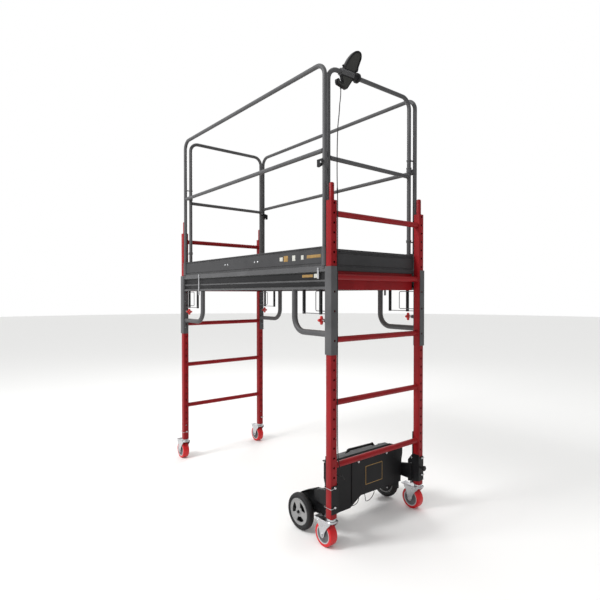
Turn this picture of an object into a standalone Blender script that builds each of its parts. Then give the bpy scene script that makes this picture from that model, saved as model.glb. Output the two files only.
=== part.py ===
"""Baker scaffold: two ladder end frames, a height-adjustable guarded platform, braked casters and a
clamp-on motor drive with a rail-mounted remote. Every piece is a separate solid. Metres, +Z up.

The scaffold stands on the floor. +X is the end that carries the drive, -Y is the left side.
Sizes are given from the middle of the four posts; FOOTPRINT_CENTRE moves the whole scaffold so that
its origin is the centre of its footprint.
"""
import math

import bmesh
import bpy
from mathutils import Matrix, Vector

FOOTPRINT_CENTRE = Vector((-0.0261, 0.0, 0.0))

# ---- end frames ----
POST_X = 0.872
POST_Y = 0.361
POST_SIDE = 0.042
POST_BOTTOM = 0.159
POST_TOP = 1.812
STACK_PIN_TOP = 1.905
STACK_PIN_R = 0.0135
HOLE_PITCH = 0.0508
HOLE_FIRST_Z = 0.222
HOLE_COUNT = 32
HOLE_R = 0.0064
RUNG_R = 0.016
RUNG_TOP_Z = 1.7465
RUNG_PITCH = 0.329
RUNG_COUNT = 5

# ---- casters ----
WHEEL_R = 0.0635
WHEEL_WIDTH = 0.050
TRAIL = 0.040
AXLE_R = 0.006
STEM_R = 0.0140
CROWN_LOW = 0.135
CROWN_TOP = 0.146

# ---- platform ----
SLEEVE_GAP = 0.001
SLEEVE_WALL = 0.004
SLEEVE_BOTTOM = 1.012
SLEEVE_TOP = 1.471
RAIL_BOTTOM = 1.352
RAIL_TOP = 1.4755
RAIL_FACE_Y = 0.380
LOCK_PIN_Z = HOLE_FIRST_Z + 19 * HOLE_PITCH
BRACE_X = 0.563
BRACE_Z = 1.117
BRACE_R = 0.0165
BRACE_BEND = 0.085
HANGER_X = (0.647, 0.788)
LATCH_FAR_X = 0.585
LATCH_NEAR_X = 0.790
LATCH_Z = 1.458
DECK_TOP = 1.470
DECK_THICK = 0.019
TOE_TOP = 1.578
END_TOE_TOP = 1.567

# ---- guardrails and gates ----
RAIL_TUBE_R = 0.0125
TUBE_SIDES = 10
LEG_X = 0.832
LEG_Y = 0.373
GUARD_TOP = 2.534
GUARD_MID = 2.080
GUARD_FOOT = 1.463
GATE_X = 0.8165
GATE_Y = 0.3355
GATE_TOP = 2.5275
GATE_MID = 2.050
GATE_FOOT = 1.500
CORNER_BEND = 0.065
KEEPER_Z = 2.012
HOOK_PIVOT_Z = 2.035
HINGE_RINGS = ((2.149, 0.008), (2.085, 0.025), (1.647, 0.008))

# ---- drive ----
DRIVE_WHEEL_R = 0.102
DRIVE_X = 0.612
DRIVE_WHEEL_Y = (0.335, 0.377)
TRAY_X = 0.634
TRAY_LEFT = -0.186
ARM_Y = 0.3055
COVER_TOP = 0.415
COVER_X = 0.774
TRAY_Z = 0.165
PLATE = 0.004
SNAP_PIN_Z = HOLE_FIRST_Z
DRIVE_PIN_Z = HOLE_FIRST_Z + 2 * HOLE_PITCH

# ---- remote and cables ----
CABLE_D = 0.005
LEAD_D = 0.004
FIT = 0.0003

SHARP = math.radians(35)
AXES = {
    "X": Matrix(((0, 0, 1), (1, 0, 0), (0, 1, 0))),
    "Y": Matrix(((0, 1, 0), (0, 0, 1), (1, 0, 0))),
    "Z": Matrix.Identity(3),
}


# ---------------------------------------------------------------- tools

def material(name, colour, roughness, metallic=0.0):
    """A Principled material in one colour."""
    mat = bpy.data.materials.new(name)
    mat.use_nodes = True
    shader = mat.node_tree.nodes["Principled BSDF"]
    shader.inputs["Base Color"].default_value = (*colour, 1.0)
    shader.inputs["Roughness"].default_value = roughness
    shader.inputs["Metallic"].default_value = metallic
    return mat


def shape(bm):
    """Turn a bmesh into an object, faces out."""
    bmesh.ops.recalc_face_normals(bm, faces=bm.faces)
    mesh = bpy.data.meshes.new("shape")
    bm.to_mesh(mesh)
    bm.free()
    obj = bpy.data.objects.new("shape", mesh)
    bpy.context.scene.collection.objects.link(obj)
    return obj


def box(low, high, bevel=0.0):
    """A box from its low corner to its high corner."""
    low, high = Vector(low), Vector(high)
    bm = bmesh.new()
    bmesh.ops.create_cube(bm, size=1.0)
    size = high - low
    bmesh.ops.scale(bm, vec=size, verts=bm.verts)
    bmesh.ops.translate(bm, vec=(low + high) / 2, verts=bm.verts)
    if bevel:
        bmesh.ops.bevel(bm, geom=bm.edges[:], offset=bevel, segments=1, affect="EDGES")
    return shape(bm)


def mirrored_box(side, low, high, bevel=0.0):
    """A box whose Y values are given on the outward side: side is -1 for left, +1 for right."""
    ys = sorted((side * low[1], side * high[1]))
    return box((low[0], ys[0], low[2]), (high[0], ys[1], high[2]), bevel)


def prism(outline, axis, start, end):
    """A flat outline extruded along X (outline in y, z), Y (in x, z) or Z (in x, y)."""
    place = {
        "X": lambda a, b, t: (t, a, b),
        "Y": lambda a, b, t: (a, t, b),
        "Z": lambda a, b, t: (a, b, t),
    }[axis]
    bm = bmesh.new()
    ends = [[bm.verts.new(place(a, b, t)) for a, b in outline] for t in (start, end)]
    bm.faces.new(ends[0])
    bm.faces.new(ends[1])
    count = len(outline)
    for i in range(count):
        j = (i + 1) % count
        bm.faces.new((ends[0][i], ends[0][j], ends[1][j], ends[1][i]))
    return shape(bm)


def turned(profile, centre, axis, sides=16, turn=0.0):
    """A profile of (radius, distance along the axis) turned about the axis through centre.

    A profile that starts and ends at radius 0 is solid; any other is closed on itself, a ring."""
    basis, centre = AXES[axis], Vector(centre)
    bm = bmesh.new()
    rings = []
    for radius, along in profile:
        if radius < 1e-6:
            rings.append([bm.verts.new(centre + basis @ Vector((0, 0, along)))])
            continue
        ring = []
        for i in range(sides):
            angle = turn + math.tau * i / sides
            local = Vector((radius * math.cos(angle), radius * math.sin(angle), along))
            ring.append(bm.verts.new(centre + basis @ local))
        rings.append(ring)
    pairs = list(zip(rings, rings[1:]))
    if len(rings[0]) > 1:
        pairs.append((rings[-1], rings[0]))
    for a, b in pairs:
        for i in range(sides):
            j = (i + 1) % sides
            corners = [a[i % len(a)], a[j % len(a)], b[j % len(b)], b[i % len(b)]]
            unique = list(dict.fromkeys(corners))
            if len(unique) > 2:
                bm.faces.new(unique)
    return shape(bm)


def rod(radius, start, end, centre, axis, sides=12, turn=0.0):
    """A round rod from start to end along the axis through centre."""
    profile = ((0, start), (radius, start), (radius, end), (0, end))
    return turned(profile, centre, axis, sides, turn)


def rounded(points, bend, steps=5):
    """The points with each inner corner replaced by an arc of radius bend."""
    points = [Vector(p) for p in points]
    path = [points[0]]
    for before, corner, after in zip(points, points[1:], points[2:]):
        back, on = (before - corner).normalized(), (after - corner).normalized()
        half = back.angle(on) / 2
        reach = bend / math.tan(half)
        centre = corner + (back + on).normalized() * bend / math.sin(half)
        first, last = corner + back * reach - centre, corner + on * reach - centre
        for k in range(steps + 1):
            path.append(centre + bend * first.slerp(last, k / steps).normalized())
    path.append(points[-1])
    return path


def bar(path, radius, sides=TUBE_SIDES):
    """A round bar along a path, with flat ends."""
    path = [Vector(p) for p in path]
    directions = [(b - a).normalized() for a, b in zip(path, path[1:])]
    tangents = [directions[0]]
    tangents += [(a + b).normalized() for a, b in zip(directions, directions[1:])]
    tangents.append(directions[-1])
    normal = tangents[0].orthogonal().normalized()
    bm = bmesh.new()
    loops = []
    for k, (point, tangent) in enumerate(zip(path, tangents)):
        if k:
            normal = tangents[k - 1].rotation_difference(tangent) @ normal
        across = tangent.cross(normal)
        loop = []
        for i in range(sides):
            angle = math.tau * (i + 0.5) / sides
            offset = normal * math.cos(angle) + across * math.sin(angle)
            loop.append(bm.verts.new(point + offset * radius))
        loops.append(loop)
    for a, b in zip(loops, loops[1:]):
        for i in range(sides):
            j = (i + 1) % sides
            bm.faces.new((a[i], a[j], b[j], b[i]))
    bm.faces.new(loops[0])
    bm.faces.new(loops[-1])
    return shape(bm)


def combine(base, others, operation):
    """Apply one exact Boolean of all the other shapes to base, and remove them."""
    operands = bpy.data.collections.new("operands")
    for other in others:
        operands.objects.link(other)
    boolean = base.modifiers.new("combine", "BOOLEAN")
    boolean.operation = operation
    boolean.solver = "EXACT"
    boolean.operand_type = "COLLECTION"
    boolean.collection = operands
    graph = bpy.context.evaluated_depsgraph_get()
    mesh = bpy.data.meshes.new_from_object(base.evaluated_get(graph))
    base.modifiers.clear()
    base.data = mesh
    for other in others:
        bpy.data.objects.remove(other, do_unlink=True)
    bpy.data.collections.remove(operands)


def welded(shapes, cuts=()):
    """Join shapes into one solid and cut the given shapes out of it."""
    base, others = shapes[0], list(shapes[1:])
    if others:
        combine(base, others, "UNION")
    if cuts:
        combine(base, list(cuts), "DIFFERENCE")
    return base


def body(name, pivot=(0, 0, 0), parent=None):
    """An empty on a joint's axis, which carries the pieces that move together."""
    empty = bpy.data.objects.new(name, None)
    bpy.context.scene.collection.objects.link(empty)
    empty["pivot"] = tuple(pivot)
    if parent is None:
        empty.location = Vector(pivot) - FOOTPRINT_CENTRE
    else:
        empty.parent = parent
        empty.location = Vector(pivot) - Vector(parent["pivot"])
    return empty


def piece(name, obj, mat, carrier):
    """Name a finished solid, give it its material and hang it on its body with its origin there."""
    pivot = Vector(carrier["pivot"])
    obj.name = name
    obj.data.name = name
    obj.data.transform(Matrix.Translation(-pivot))
    obj.data.materials.clear()
    obj.data.materials.append(mat)
    obj.parent = carrier
    obj.data.shade_smooth()
    obj.data.set_sharp_from_angle(angle=SHARP)
    return obj


def smooth_route(points, count):
    """count points, evenly spaced, on a smooth curve through the route's own points."""
    points = [Vector(p) for p in points]
    padded = [2 * points[0] - points[1], *points, 2 * points[-1] - points[-2]]
    fine = []
    per_span = 24
    for a, b, c, d in zip(padded, padded[1:], padded[2:], padded[3:]):
        for k in range(per_span):
            t = k / per_span
            fine.append(0.5 * (2 * b + (c - a) * t + (2 * a - 5 * b + 4 * c - d) * t * t
                               + (3 * b - a - 3 * c + d) * t ** 3))
    fine.append(points[-1])
    lengths = [0.0]
    for a, b in zip(fine, fine[1:]):
        lengths.append(lengths[-1] + (b - a).length)
    route, k = [], 0
    for i in range(count):
        want = lengths[-1] * i / (count - 1)
        while k < len(fine) - 2 and lengths[k + 1] < want:
            k += 1
        step = (want - lengths[k]) / (lengths[k + 1] - lengths[k])
        route.append(fine[k].lerp(fine[k + 1], step))
    return route


def cable(name, points, count, diameter, mat, carrier):
    """A round cable along a smooth route, with flat ends."""
    pivot = Vector(carrier["pivot"])
    curve = bpy.data.curves.new(name, "CURVE")
    curve.dimensions = "3D"
    curve.bevel_depth = diameter / 2
    curve.bevel_resolution = 2
    curve.use_fill_caps = True
    route = smooth_route(points, count)
    spline = curve.splines.new("POLY")
    spline.points.add(count - 1)
    for knot, point in zip(spline.points, route):
        knot.co = (*(point - pivot), 1.0)
    curve.materials.append(mat)
    obj = bpy.data.objects.new(name, curve)
    bpy.context.scene.collection.objects.link(obj)
    obj.parent = carrier
    return obj


def corner_name(end, side):
    """near or far, left or right: end is +1 at the drive's end, side is +1 on the right."""
    return f"{'near' if end > 0 else 'far'}_{'right' if side > 0 else 'left'}"


CORNERS = [(end, side) for end in (1, -1) for side in (-1, 1)]


# ---------------------------------------------------------------- end frames

def end_frame(name, end, mats, root):
    """A welded ladder: two square posts with a hole every pitch, round rungs and stacking pins."""
    x = end * POST_X
    half = POST_SIDE / 2
    holes = [HOLE_FIRST_Z + k * HOLE_PITCH for k in range(HOLE_COUNT)]
    shapes, cuts = [], []
    for side in (-1, 1):
        y = side * POST_Y
        corner = 0.005
        outline = [
            (x + a * half - a * (corner if first else 0), y + b * half - b * (0 if first else corner))
            for a, b, first in (
                (1, 1, True), (-1, 1, True), (-1, 1, False), (-1, -1, False),
                (-1, -1, True), (1, -1, True), (1, -1, False), (1, 1, False),
            )
        ]
        shapes.append(prism(outline, "Z", POST_BOTTOM, POST_TOP))
        chamfer = 0.005
        pin = (
            (0, POST_TOP - 0.010), (STACK_PIN_R, POST_TOP - 0.010),
            (STACK_PIN_R, STACK_PIN_TOP - chamfer), (STACK_PIN_R - chamfer, STACK_PIN_TOP),
            (0, STACK_PIN_TOP),
        )
        shapes.append(turned(pin, (x, y, 0), "Z", 12))
        reach = POST_SIDE
        for z in holes:
            cuts.append(rod(HOLE_R, -reach, reach, (x, y, z), "X", 6))
        cuts.append(rod(0.0045, -reach, reach, (x, y, STACK_PIN_TOP - 0.020), "X", 6))
        cuts.append(rod(STEM_R + 0.0008, POST_BOTTOM - 0.01, 0.296, (x, y, 0), "Z", 12))
    inner = POST_Y - half
    for k in range(RUNG_COUNT):
        z = RUNG_TOP_Z - k * RUNG_PITCH
        shapes.append(rod(RUNG_R, -inner - 0.003, inner + 0.003, (x, 0, z), "Y", 12))
    piece(name, welded(shapes, cuts), mats["red_paint"], root)


# ---------------------------------------------------------------- casters

def caster(end, side, mats, root):
    """A swivelling braked caster: stem pinned in the post, fork, wheel and brake pedal."""
    tag = corner_name(end, side)
    x, y = end * POST_X, side * POST_Y
    axle_x, axle_z = x - TRAIL, WHEEL_R

    stem = turned((
        (0, 0.1310), (0.011, 0.1310), (0.011, 0.1345), (0.0075, 0.1345), (0.0075, 0.1475),
        (0.024, 0.1475), (0.024, 0.1585), (STEM_R, 0.1585), (STEM_R, 0.285), (0, 0.285),
    ), (x, y, 0), "Z", 12)
    pin_hole = rod(0.0038, -0.03, 0.03, (x, y, SNAP_PIN_Z), "X", 8)
    piece(f"caster_stem_{tag}", welded([stem], [pin_hole]), mats["zinc"], root)

    swivel = body(f"swivel_{tag}", (x, y, CROWN_TOP), root)
    crown = [
        (x - 0.060, y - 0.0320), (x + 0.012, y - 0.0320), (x + 0.028, y - 0.018),
        (x + 0.028, y + 0.018), (x + 0.012, y + 0.0320), (x - 0.060, y + 0.0320),
    ]
    shapes = [prism(crown, "Z", CROWN_LOW, CROWN_TOP)]
    cheek = [
        (x - 0.082, CROWN_TOP), (x + 0.020, CROWN_TOP), (x + 0.018, 0.128), (x - 0.004, 0.108),
        (axle_x + 0.016, axle_z + 0.004), (axle_x + 0.010, axle_z - 0.012),
        (axle_x, axle_z - 0.016), (axle_x - 0.010, axle_z - 0.012),
        (axle_x - 0.016, axle_z + 0.004), (x - 0.066, 0.106), (x - 0.082, 0.118),
    ]
    for a in (-1, 1):
        faces = sorted((y + a * 0.0285, y + a * 0.0320))
        shapes.append(prism(cheek, "Y", *faces))
    shapes.append(rod(AXLE_R, -0.036, 0.036, (axle_x, y, axle_z), "Y", 8))
    for a in (-1, 1):
        nut = sorted((a * 0.0315, a * 0.0375))
        shapes.append(rod(0.010, *nut, (axle_x, y, axle_z), "Y", 6))
    pedal_x, pedal_z = x - 0.073, 0.131
    cuts = [
        rod(0.0084, CROWN_LOW - 0.01, CROWN_TOP + 0.01, (x, y, 0), "Z", 10),
        rod(0.0033, -0.040, 0.040, (pedal_x, y, pedal_z), "Y", 8),
    ]
    piece(f"caster_fork_{tag}", welded(shapes, cuts), mats["zinc"], swivel)

    roll = body(f"roll_{tag}", (axle_x, y, axle_z), swivel)
    half = WHEEL_WIDTH / 2
    profile = (
        (WHEEL_R - 0.004, -half), (WHEEL_R, -half + 0.004), (WHEEL_R, half - 0.004),
        (WHEEL_R - 0.004, half), (0.046, half), (0.020, half - 0.005),
        (AXLE_R + 0.0008, half - 0.005), (AXLE_R + 0.0008, -half + 0.005),
        (0.020, -half + 0.005), (0.046, -half),
    )
    wheel = turned(profile, (axle_x, y, axle_z), "Y", 20)
    piece(f"caster_wheel_{tag}", wheel, mats["red_tread"], roll)

    brake = body(f"brake_{tag}", (pedal_x, y, pedal_z), swivel)
    tread = [
        (pedal_x + 0.005, pedal_z - 0.003), (pedal_x + 0.005, pedal_z + 0.003),
        (pedal_x - 0.012, pedal_z + 0.004), (pedal_x - 0.038, pedal_z + 0.009),
        (pedal_x - 0.038, pedal_z + 0.005), (pedal_x - 0.012, pedal_z - 0.003),
    ]
    pedal = [
        prism(tread, "Y", y - 0.024, y + 0.024),
        rod(0.0028, -0.0345, 0.0345, (pedal_x, y, pedal_z), "Y", 8),
    ]
    piece(f"brake_pedal_{tag}", welded(pedal), mats["zinc"], brake)

    front = POST_SIDE / 2 + 0.006
    z = SNAP_PIN_Z
    loop = [
        (x + front + 0.004, y + side * 0.002, z), (x + front + 0.004, y + side * 0.028, z - 0.004),
        (x - front, y + side * 0.028, z - 0.004), (x - front - 0.004, y + side * 0.010, z),
    ]
    pin = [
        rod(0.003, -front - 0.006, front, (x, y, z), "X", 8),
        rod(0.006, front - 0.001, front + 0.007, (x, y, z), "X", 6),
        bar(rounded(loop, 0.008, 1), 0.0012, 5),
    ]
    piece(f"snap_pin_{tag}", welded(pin), mats["zinc"], root)


# ---------------------------------------------------------------- platform

def side_bracket(side, mats, platform):
    """A platform side: two sleeves on the posts, the rail between them, braces and hangers."""
    half = POST_SIDE / 2
    inner = half + SLEEVE_GAP
    outer = inner + SLEEVE_WALL
    y0 = side * POST_Y
    shapes, cuts = [], []
    for end in (-1, 1):
        x0 = end * POST_X
        open_y = y0 - side * 0.016
        outline = [
            (x0 - outer, y0 + side * outer), (x0 + outer, y0 + side * outer), (x0 + outer, open_y),
            (x0 + inner, open_y), (x0 + inner, y0 + side * inner), (x0 - inner, y0 + side * inner),
            (x0 - inner, open_y), (x0 - outer, open_y),
        ]
        shapes.append(prism(outline, "Z", SLEEVE_BOTTOM, SLEEVE_TOP))
        flange_x = end * (POST_X - inner - SLEEVE_WALL / 2)
        brace = [
            (end * BRACE_X, y0, RAIL_BOTTOM + 0.006), (end * BRACE_X, y0, BRACE_Z),
            (flange_x, y0, BRACE_Z),
        ]
        shapes.append(bar(rounded(brace, BRACE_BEND, 5), BRACE_R, 10))
        for hanger in HANGER_X:
            xs = sorted((end * (hanger - 0.008), end * (hanger + 0.008)))
            shapes.append(box((xs[0], y0 - 0.006, 1.218), (xs[1], y0 + 0.006, RAIL_BOTTOM + 0.004)))
        foot_z = 1.2225
        shapes.append(bar([(end * (HANGER_X[0]), y0, foot_z), (flange_x, y0, foot_z)], 0.0025, 6))
        wire_y = y0 - side * 0.012
        bail = [
            (flange_x, wire_y, 1.343), (end * 0.733, wire_y, 1.343),
            (end * 0.733, wire_y, 1.236), (flange_x, wire_y, 1.236),
        ]
        shapes.append(bar(rounded(bail, 0.008, 2), 0.0025, 6))
        socket = (end * LEG_X, side * LEG_Y, 0)
        shapes.append(rod(0.0165, 1.445, 1.575, socket, "Z", TUBE_SIDES))
        cuts.append(rod(RAIL_TUBE_R + 0.0011, GUARD_FOOT - 0.001, 1.60, socket, "Z", TUBE_SIDES))
        bush = sorted((end * 0.822, end * (POST_X - inner - 0.001)))
        shapes.append(rod(0.011, *bush, (0, y0, LOCK_PIN_Z), "X", 10))
        bore = sorted((end * 0.815, end * (POST_X - 0.010)))
        cuts.append(rod(0.0057, *bore, (0, y0, LOCK_PIN_Z), "X", 8))
        for k in (17, 20, 22):
            z = HOLE_FIRST_Z + k * HOLE_PITCH
            cuts.append(rod(HOLE_R, -0.040, 0.040, (x0, y0, z), "X", 6))
        latch_x = LATCH_FAR_X if end == side else LATCH_NEAR_X
        pin = sorted((side * (RAIL_FACE_Y - 0.012), side * (RAIL_FACE_Y + 0.01)))
        cuts.append(rod(0.0046, *pin, (end * latch_x, 0, LATCH_Z), "Y", 8))

    face = RAIL_FACE_Y
    profile = [
        (face, RAIL_TOP), (face - 0.030, RAIL_TOP), (face - 0.030, 1.440), (face - 0.016, 1.440),
        (face - 0.016, 1.366), (face - 0.045, 1.366), (face - 0.045, RAIL_BOTTOM),
        (face, RAIL_BOTTOM), (face, 1.366), (face - 0.012, 1.366), (face - 0.012, 1.403),
        (face - 0.008, 1.405), (face - 0.008, 1.411), (face - 0.012, 1.413), (face - 0.012, 1.440),
        (face, 1.440),
    ]
    reach = POST_X - inner - 0.0015
    shapes.append(prism([(side * a, b) for a, b in profile], "X", -reach, reach))
    name = f"side_bracket_{'right' if side > 0 else 'left'}"
    piece(name, welded(shapes, cuts), mats["grey_paint"], platform)


def lock_pin(end, side, mats, platform):
    """A hand knob on a pin that slides through the sleeve into a post hole. It is drawn at rest."""
    tag = corner_name(end, side)
    tip = end * (POST_X - POST_SIDE / 2 - 0.0013)
    carrier = body(f"lock_pin_{tag}_slide", (tip, side * POST_Y, LOCK_PIN_Z), platform)
    centre = (0, side * POST_Y, LOCK_PIN_Z)
    outline = []
    for lobe in range(4):
        middle = math.tau * lobe / 4
        for offset, radius in ((-0.44, 0.0105), (-0.25, 0.019), (0.0, 0.0235), (0.25, 0.019)):
            angle = middle + offset
            outline.append((centre[1] + radius * math.cos(angle),
                            centre[2] + radius * math.sin(angle)))
    knob = sorted((end * 0.786, end * 0.800))
    shaft = sorted((end * 0.795, tip))
    shapes = [prism(outline, "X", *knob), rod(0.005, *shaft, centre, "X", 8)]
    piece(f"lock_pin_knob_{tag}", welded(shapes), mats["red_plastic"], carrier)


def deck_latch(end, side, mats, platform):
    """A flat turn latch pinned to the rail's outer face: long at one end, short at the other."""
    tag = corner_name(end, side)
    long = end == side
    x = end * (LATCH_FAR_X if long else LATCH_NEAR_X)
    carrier = body(f"deck_latch_{tag}_turn", (x, side * RAIL_FACE_Y, LATCH_Z), platform)
    face = sorted((side * (RAIL_FACE_Y + 0.0005), side * (RAIL_FACE_Y + 0.0040)))
    if long:
        outline = [(x - 0.007, 1.318), (x + 0.007, 1.318), (x + 0.006, 1.472), (x + 0.003, 1.478),
                   (x - 0.003, 1.478), (x - 0.006, 1.472)]
        shapes = [prism(outline, "Y", *face)]
        grip = sorted((side * (RAIL_FACE_Y + 0.001), side * (RAIL_FACE_Y + 0.0075)))
        shapes.append(prism([(x - 0.005, 1.321), (x + 0.005, 1.321), (x + 0.005, 1.362),
                             (x - 0.005, 1.362)], "Y", *grip))
    else:
        outline = [(x - 0.0065, 1.408), (x + 0.0065, 1.408), (x + 0.0065, 1.460), (x + 0.004, 1.466),
                   (x - 0.004, 1.466), (x - 0.0065, 1.460)]
        shapes = [prism(outline, "Y", *face)]
    pin = sorted((side * (RAIL_FACE_Y - 0.0095), side * (RAIL_FACE_Y + 0.0065)))
    shapes.append(rod(0.004, *pin, (x, 0, LATCH_Z), "Y", 8))
    piece(f"deck_latch_{tag}", welded(shapes), mats["zinc"], carrier)


def channel(corner, size, wall, opening):
    """A C-section outline: its low corner, its width and height, and the side that is open."""
    a, b = corner
    w, h = size
    if opening == "low":
        return [(a, b), (a + w, b), (a + w, b + h), (a, b + h), (a, b + h - wall),
                (a + w - wall, b + h - wall), (a + w - wall, b + wall), (a, b + wall)]
    return [(a, b), (a + w, b), (a + w, b + wall), (a + wall, b + wall),
            (a + wall, b + h - wall), (a + w, b + h - wall), (a + w, b + h), (a, b + h)]


def deck(mats, platform):
    """The red deck frame, which rests on the side rails' ledges, and the board on top of it."""
    low, high = 1.3663, DECK_TOP - DECK_THICK - FIT
    shapes = []
    for side in (-1, 1):
        edge = 0.3335 if side > 0 else -0.3335
        inner = side * 0.300
        rail = channel((min(edge, inner), low), (0.0335, high - 0.003 - low), PLATE,
                       "low" if side > 0 else "high")
        shapes.append(prism(rail, "X", -0.812, 0.812))
        shapes.append(mirrored_box(side, (-0.800, 0.320, low), (0.800, 0.3625, low + 0.005)))
        start = 0.806 if side > 0 else -0.842
        end = channel((start, 1.350), (0.036, high - 1.350), PLATE, "low" if side > 0 else "high")
        shapes.append(prism(end, "Y", -0.334, 0.334))
    for x in (-0.42, 0.0, 0.42):
        joist = channel((x - 0.020, low + 0.030), (0.040, high - low - 0.032), PLATE, "high")
        shapes.append(prism(joist, "Y", -0.331, 0.331))
    piece("deck_frame", welded(shapes), mats["red_paint"], platform)
    board = box((-0.8325, -0.3480, DECK_TOP - DECK_THICK), (0.8325, 0.3480, DECK_TOP))
    piece("deck_panel", board, mats["deck_board"], platform)


def toe_boards(mats, platform):
    """Four ribbed kick boards, the long pair on the side rails and the short pair on the deck."""
    for side, name in ((-1, "toe_board_left"), (1, "toe_board_right")):
        outer, low, top = RAIL_FACE_Y, RAIL_TOP + FIT, TOE_TOP
        profile = [
            (outer, low), (outer, low + 0.014), (outer - 0.003, low + 0.018),
            (outer - 0.003, top - 0.020), (outer, top - 0.016), (outer, top),
            (outer - 0.014, top), (outer - 0.014, top - 0.010), (outer - 0.008, top - 0.012),
            (outer - 0.008, low + 0.010), (outer - 0.014, low + 0.008), (outer - 0.014, low),
        ]
        board = prism([(side * a, b) for a, b in profile], "X", -0.8140, 0.8140)
        piece(name, board, mats["grey_paint"], platform)
    for end, name in ((-1, "toe_board_far"), (1, "toe_board_near")):
        outer, low, top = 0.8500, DECK_TOP - DECK_THICK, END_TOE_TOP
        profile = [
            (outer, low), (outer, low + 0.014), (outer - 0.003, low + 0.018),
            (outer - 0.003, top - 0.020), (outer, top - 0.016), (outer, top),
            (outer - 0.017, top), (outer - 0.017, top - 0.010), (outer - 0.009, top - 0.012),
            (outer - 0.009, low + 0.010), (outer - 0.017, low + 0.008), (outer - 0.017, low),
        ]
        board = prism([(end * a, b) for a, b in profile], "Y", -0.3380, 0.3380)
        piece(name, board, mats["grey_paint"], platform)


def guardrail(side, mats, platform):
    """A long bent guardrail with its mid rail, the gate's hinge rings and the keeper stud."""
    y = side * LEG_Y
    loop = [(-LEG_X, y, GUARD_FOOT), (-LEG_X, y, GUARD_TOP), (LEG_X, y, GUARD_TOP),
            (LEG_X, y, GUARD_FOOT)]
    shapes = [
        bar(rounded(loop, CORNER_BEND, 5), RAIL_TUBE_R),
        bar([(-LEG_X, y, GUARD_MID), (LEG_X, y, GUARD_MID)], RAIL_TUBE_R),
    ]
    hinge_end = side
    leg = Vector((hinge_end * LEG_X, y, 0))
    pivot = Vector((hinge_end * GATE_X, side * GATE_Y, 0))
    across = (pivot - leg).normalized()
    beside = Vector((-across.y, across.x, 0))
    cuts = []
    for z, height in HINGE_RINGS:
        shapes.append(rod(0.0180, z - height / 2, z + height / 2, pivot, "Z", TUBE_SIDES))
        link = []
        for along, offset in ((0.006, -0.006), (0.032, -0.006), (0.032, 0.006), (0.006, 0.006)):
            corner = leg + across * along + beside * offset
            link.append((corner.x, corner.y))
        shapes.append(prism(link, "Z", z - height / 2 + 0.0005, z + height / 2 - 0.0005))
        cuts.append(rod(RAIL_TUBE_R + 0.0010, z - 0.03, z + 0.03, pivot, "Z", TUBE_SIDES))
    keeper = (-hinge_end * LEG_X, 0, KEEPER_Z)
    stem = sorted((side * (LEG_Y + 0.010), side * 0.4010))
    head = sorted((side * 0.3990, side * 0.4025))
    shapes.append(rod(0.0035, *stem, keeper, "Y", 8))
    shapes.append(rod(0.0048, *head, keeper, "Y", 8))
    name = f"guardrail_{'right' if side > 0 else 'left'}"
    piece(name, welded(shapes, cuts), mats["grey_paint"], platform)


def gate(end, mats, platform):
    """An end gate that swings inwards on the guardrail's rings, and its drop hook."""
    name = "near" if end > 0 else "far"
    x = end * GATE_X
    hinge_y, free_y = end * GATE_Y, -end * GATE_Y
    carrier = body(f"gate_{name}_swing", (x, hinge_y, GATE_FOOT), platform)
    loop = [(x, hinge_y, GATE_FOOT), (x, hinge_y, GATE_TOP), (x, free_y, GATE_TOP),
            (x, free_y, GATE_FOOT)]
    shapes = [
        bar(rounded(loop, CORNER_BEND, 5), RAIL_TUBE_R),
        bar([(x, hinge_y, GATE_MID), (x, free_y, GATE_MID)], RAIL_TUBE_R),
    ]
    for z, height in HINGE_RINGS[1:]:
        low = z + height / 2 + 0.0010
        shapes.append(rod(0.0165, low, low + 0.008, (x, hinge_y, 0), "Z", TUBE_SIDES))
    blind = sorted((end * (GATE_X - 0.016), end * (GATE_X - 0.002)))
    cuts = [rod(0.0044, *blind, (0, free_y, HOOK_PIVOT_Z), "X", 8)]
    piece(f"gate_{name}", welded(shapes, cuts), mats["grey_paint"], carrier)

    hook = body(f"gate_hook_{name}_lift", (end * (GATE_X - 0.017), free_y, HOOK_PIVOT_Z), carrier)
    outward = -end
    inner_x, arm_x = end * (GATE_X - 0.019), end * (GATE_X - 0.015)
    arm = [
        (free_y - outward * 0.009, HOOK_PIVOT_Z + 0.002), (free_y - outward * 0.004, 2.026),
        (free_y + outward * 0.048, 1.993), (free_y + outward * 0.0618, 1.993),
        (free_y + outward * 0.0618, 2.031), (free_y + outward * 0.006, 2.0445),
        (free_y - outward * 0.004, 2.0445),
    ]
    reach = end * (LEG_X + 0.010)
    stud = end * LEG_X
    tongue = [
        (inner_x, 1.993), (stud - end * 0.0058, 1.993), (stud - end * 0.0058, 2.0172),
        (stud + end * 0.0058, 2.0172), (stud + end * 0.0058, 1.996), (reach, 1.996),
        (reach, 2.031), (inner_x, 2.031),
    ]
    tongue_y = sorted((free_y + outward * 0.0580, free_y + outward * 0.0620))
    pin = sorted((arm_x - end * 0.001, end * (GATE_X - 0.0035)))
    parts = [
        prism(arm, "X", *sorted((inner_x, arm_x))),
        prism(tongue, "Y", *tongue_y),
        rod(0.0038, *pin, (0, free_y, HOOK_PIVOT_Z), "X", 8),
    ]
    piece(f"gate_hook_{name}", welded(parts), mats["black_paint"], hook)
    return carrier


# ---------------------------------------------------------------- drive

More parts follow.
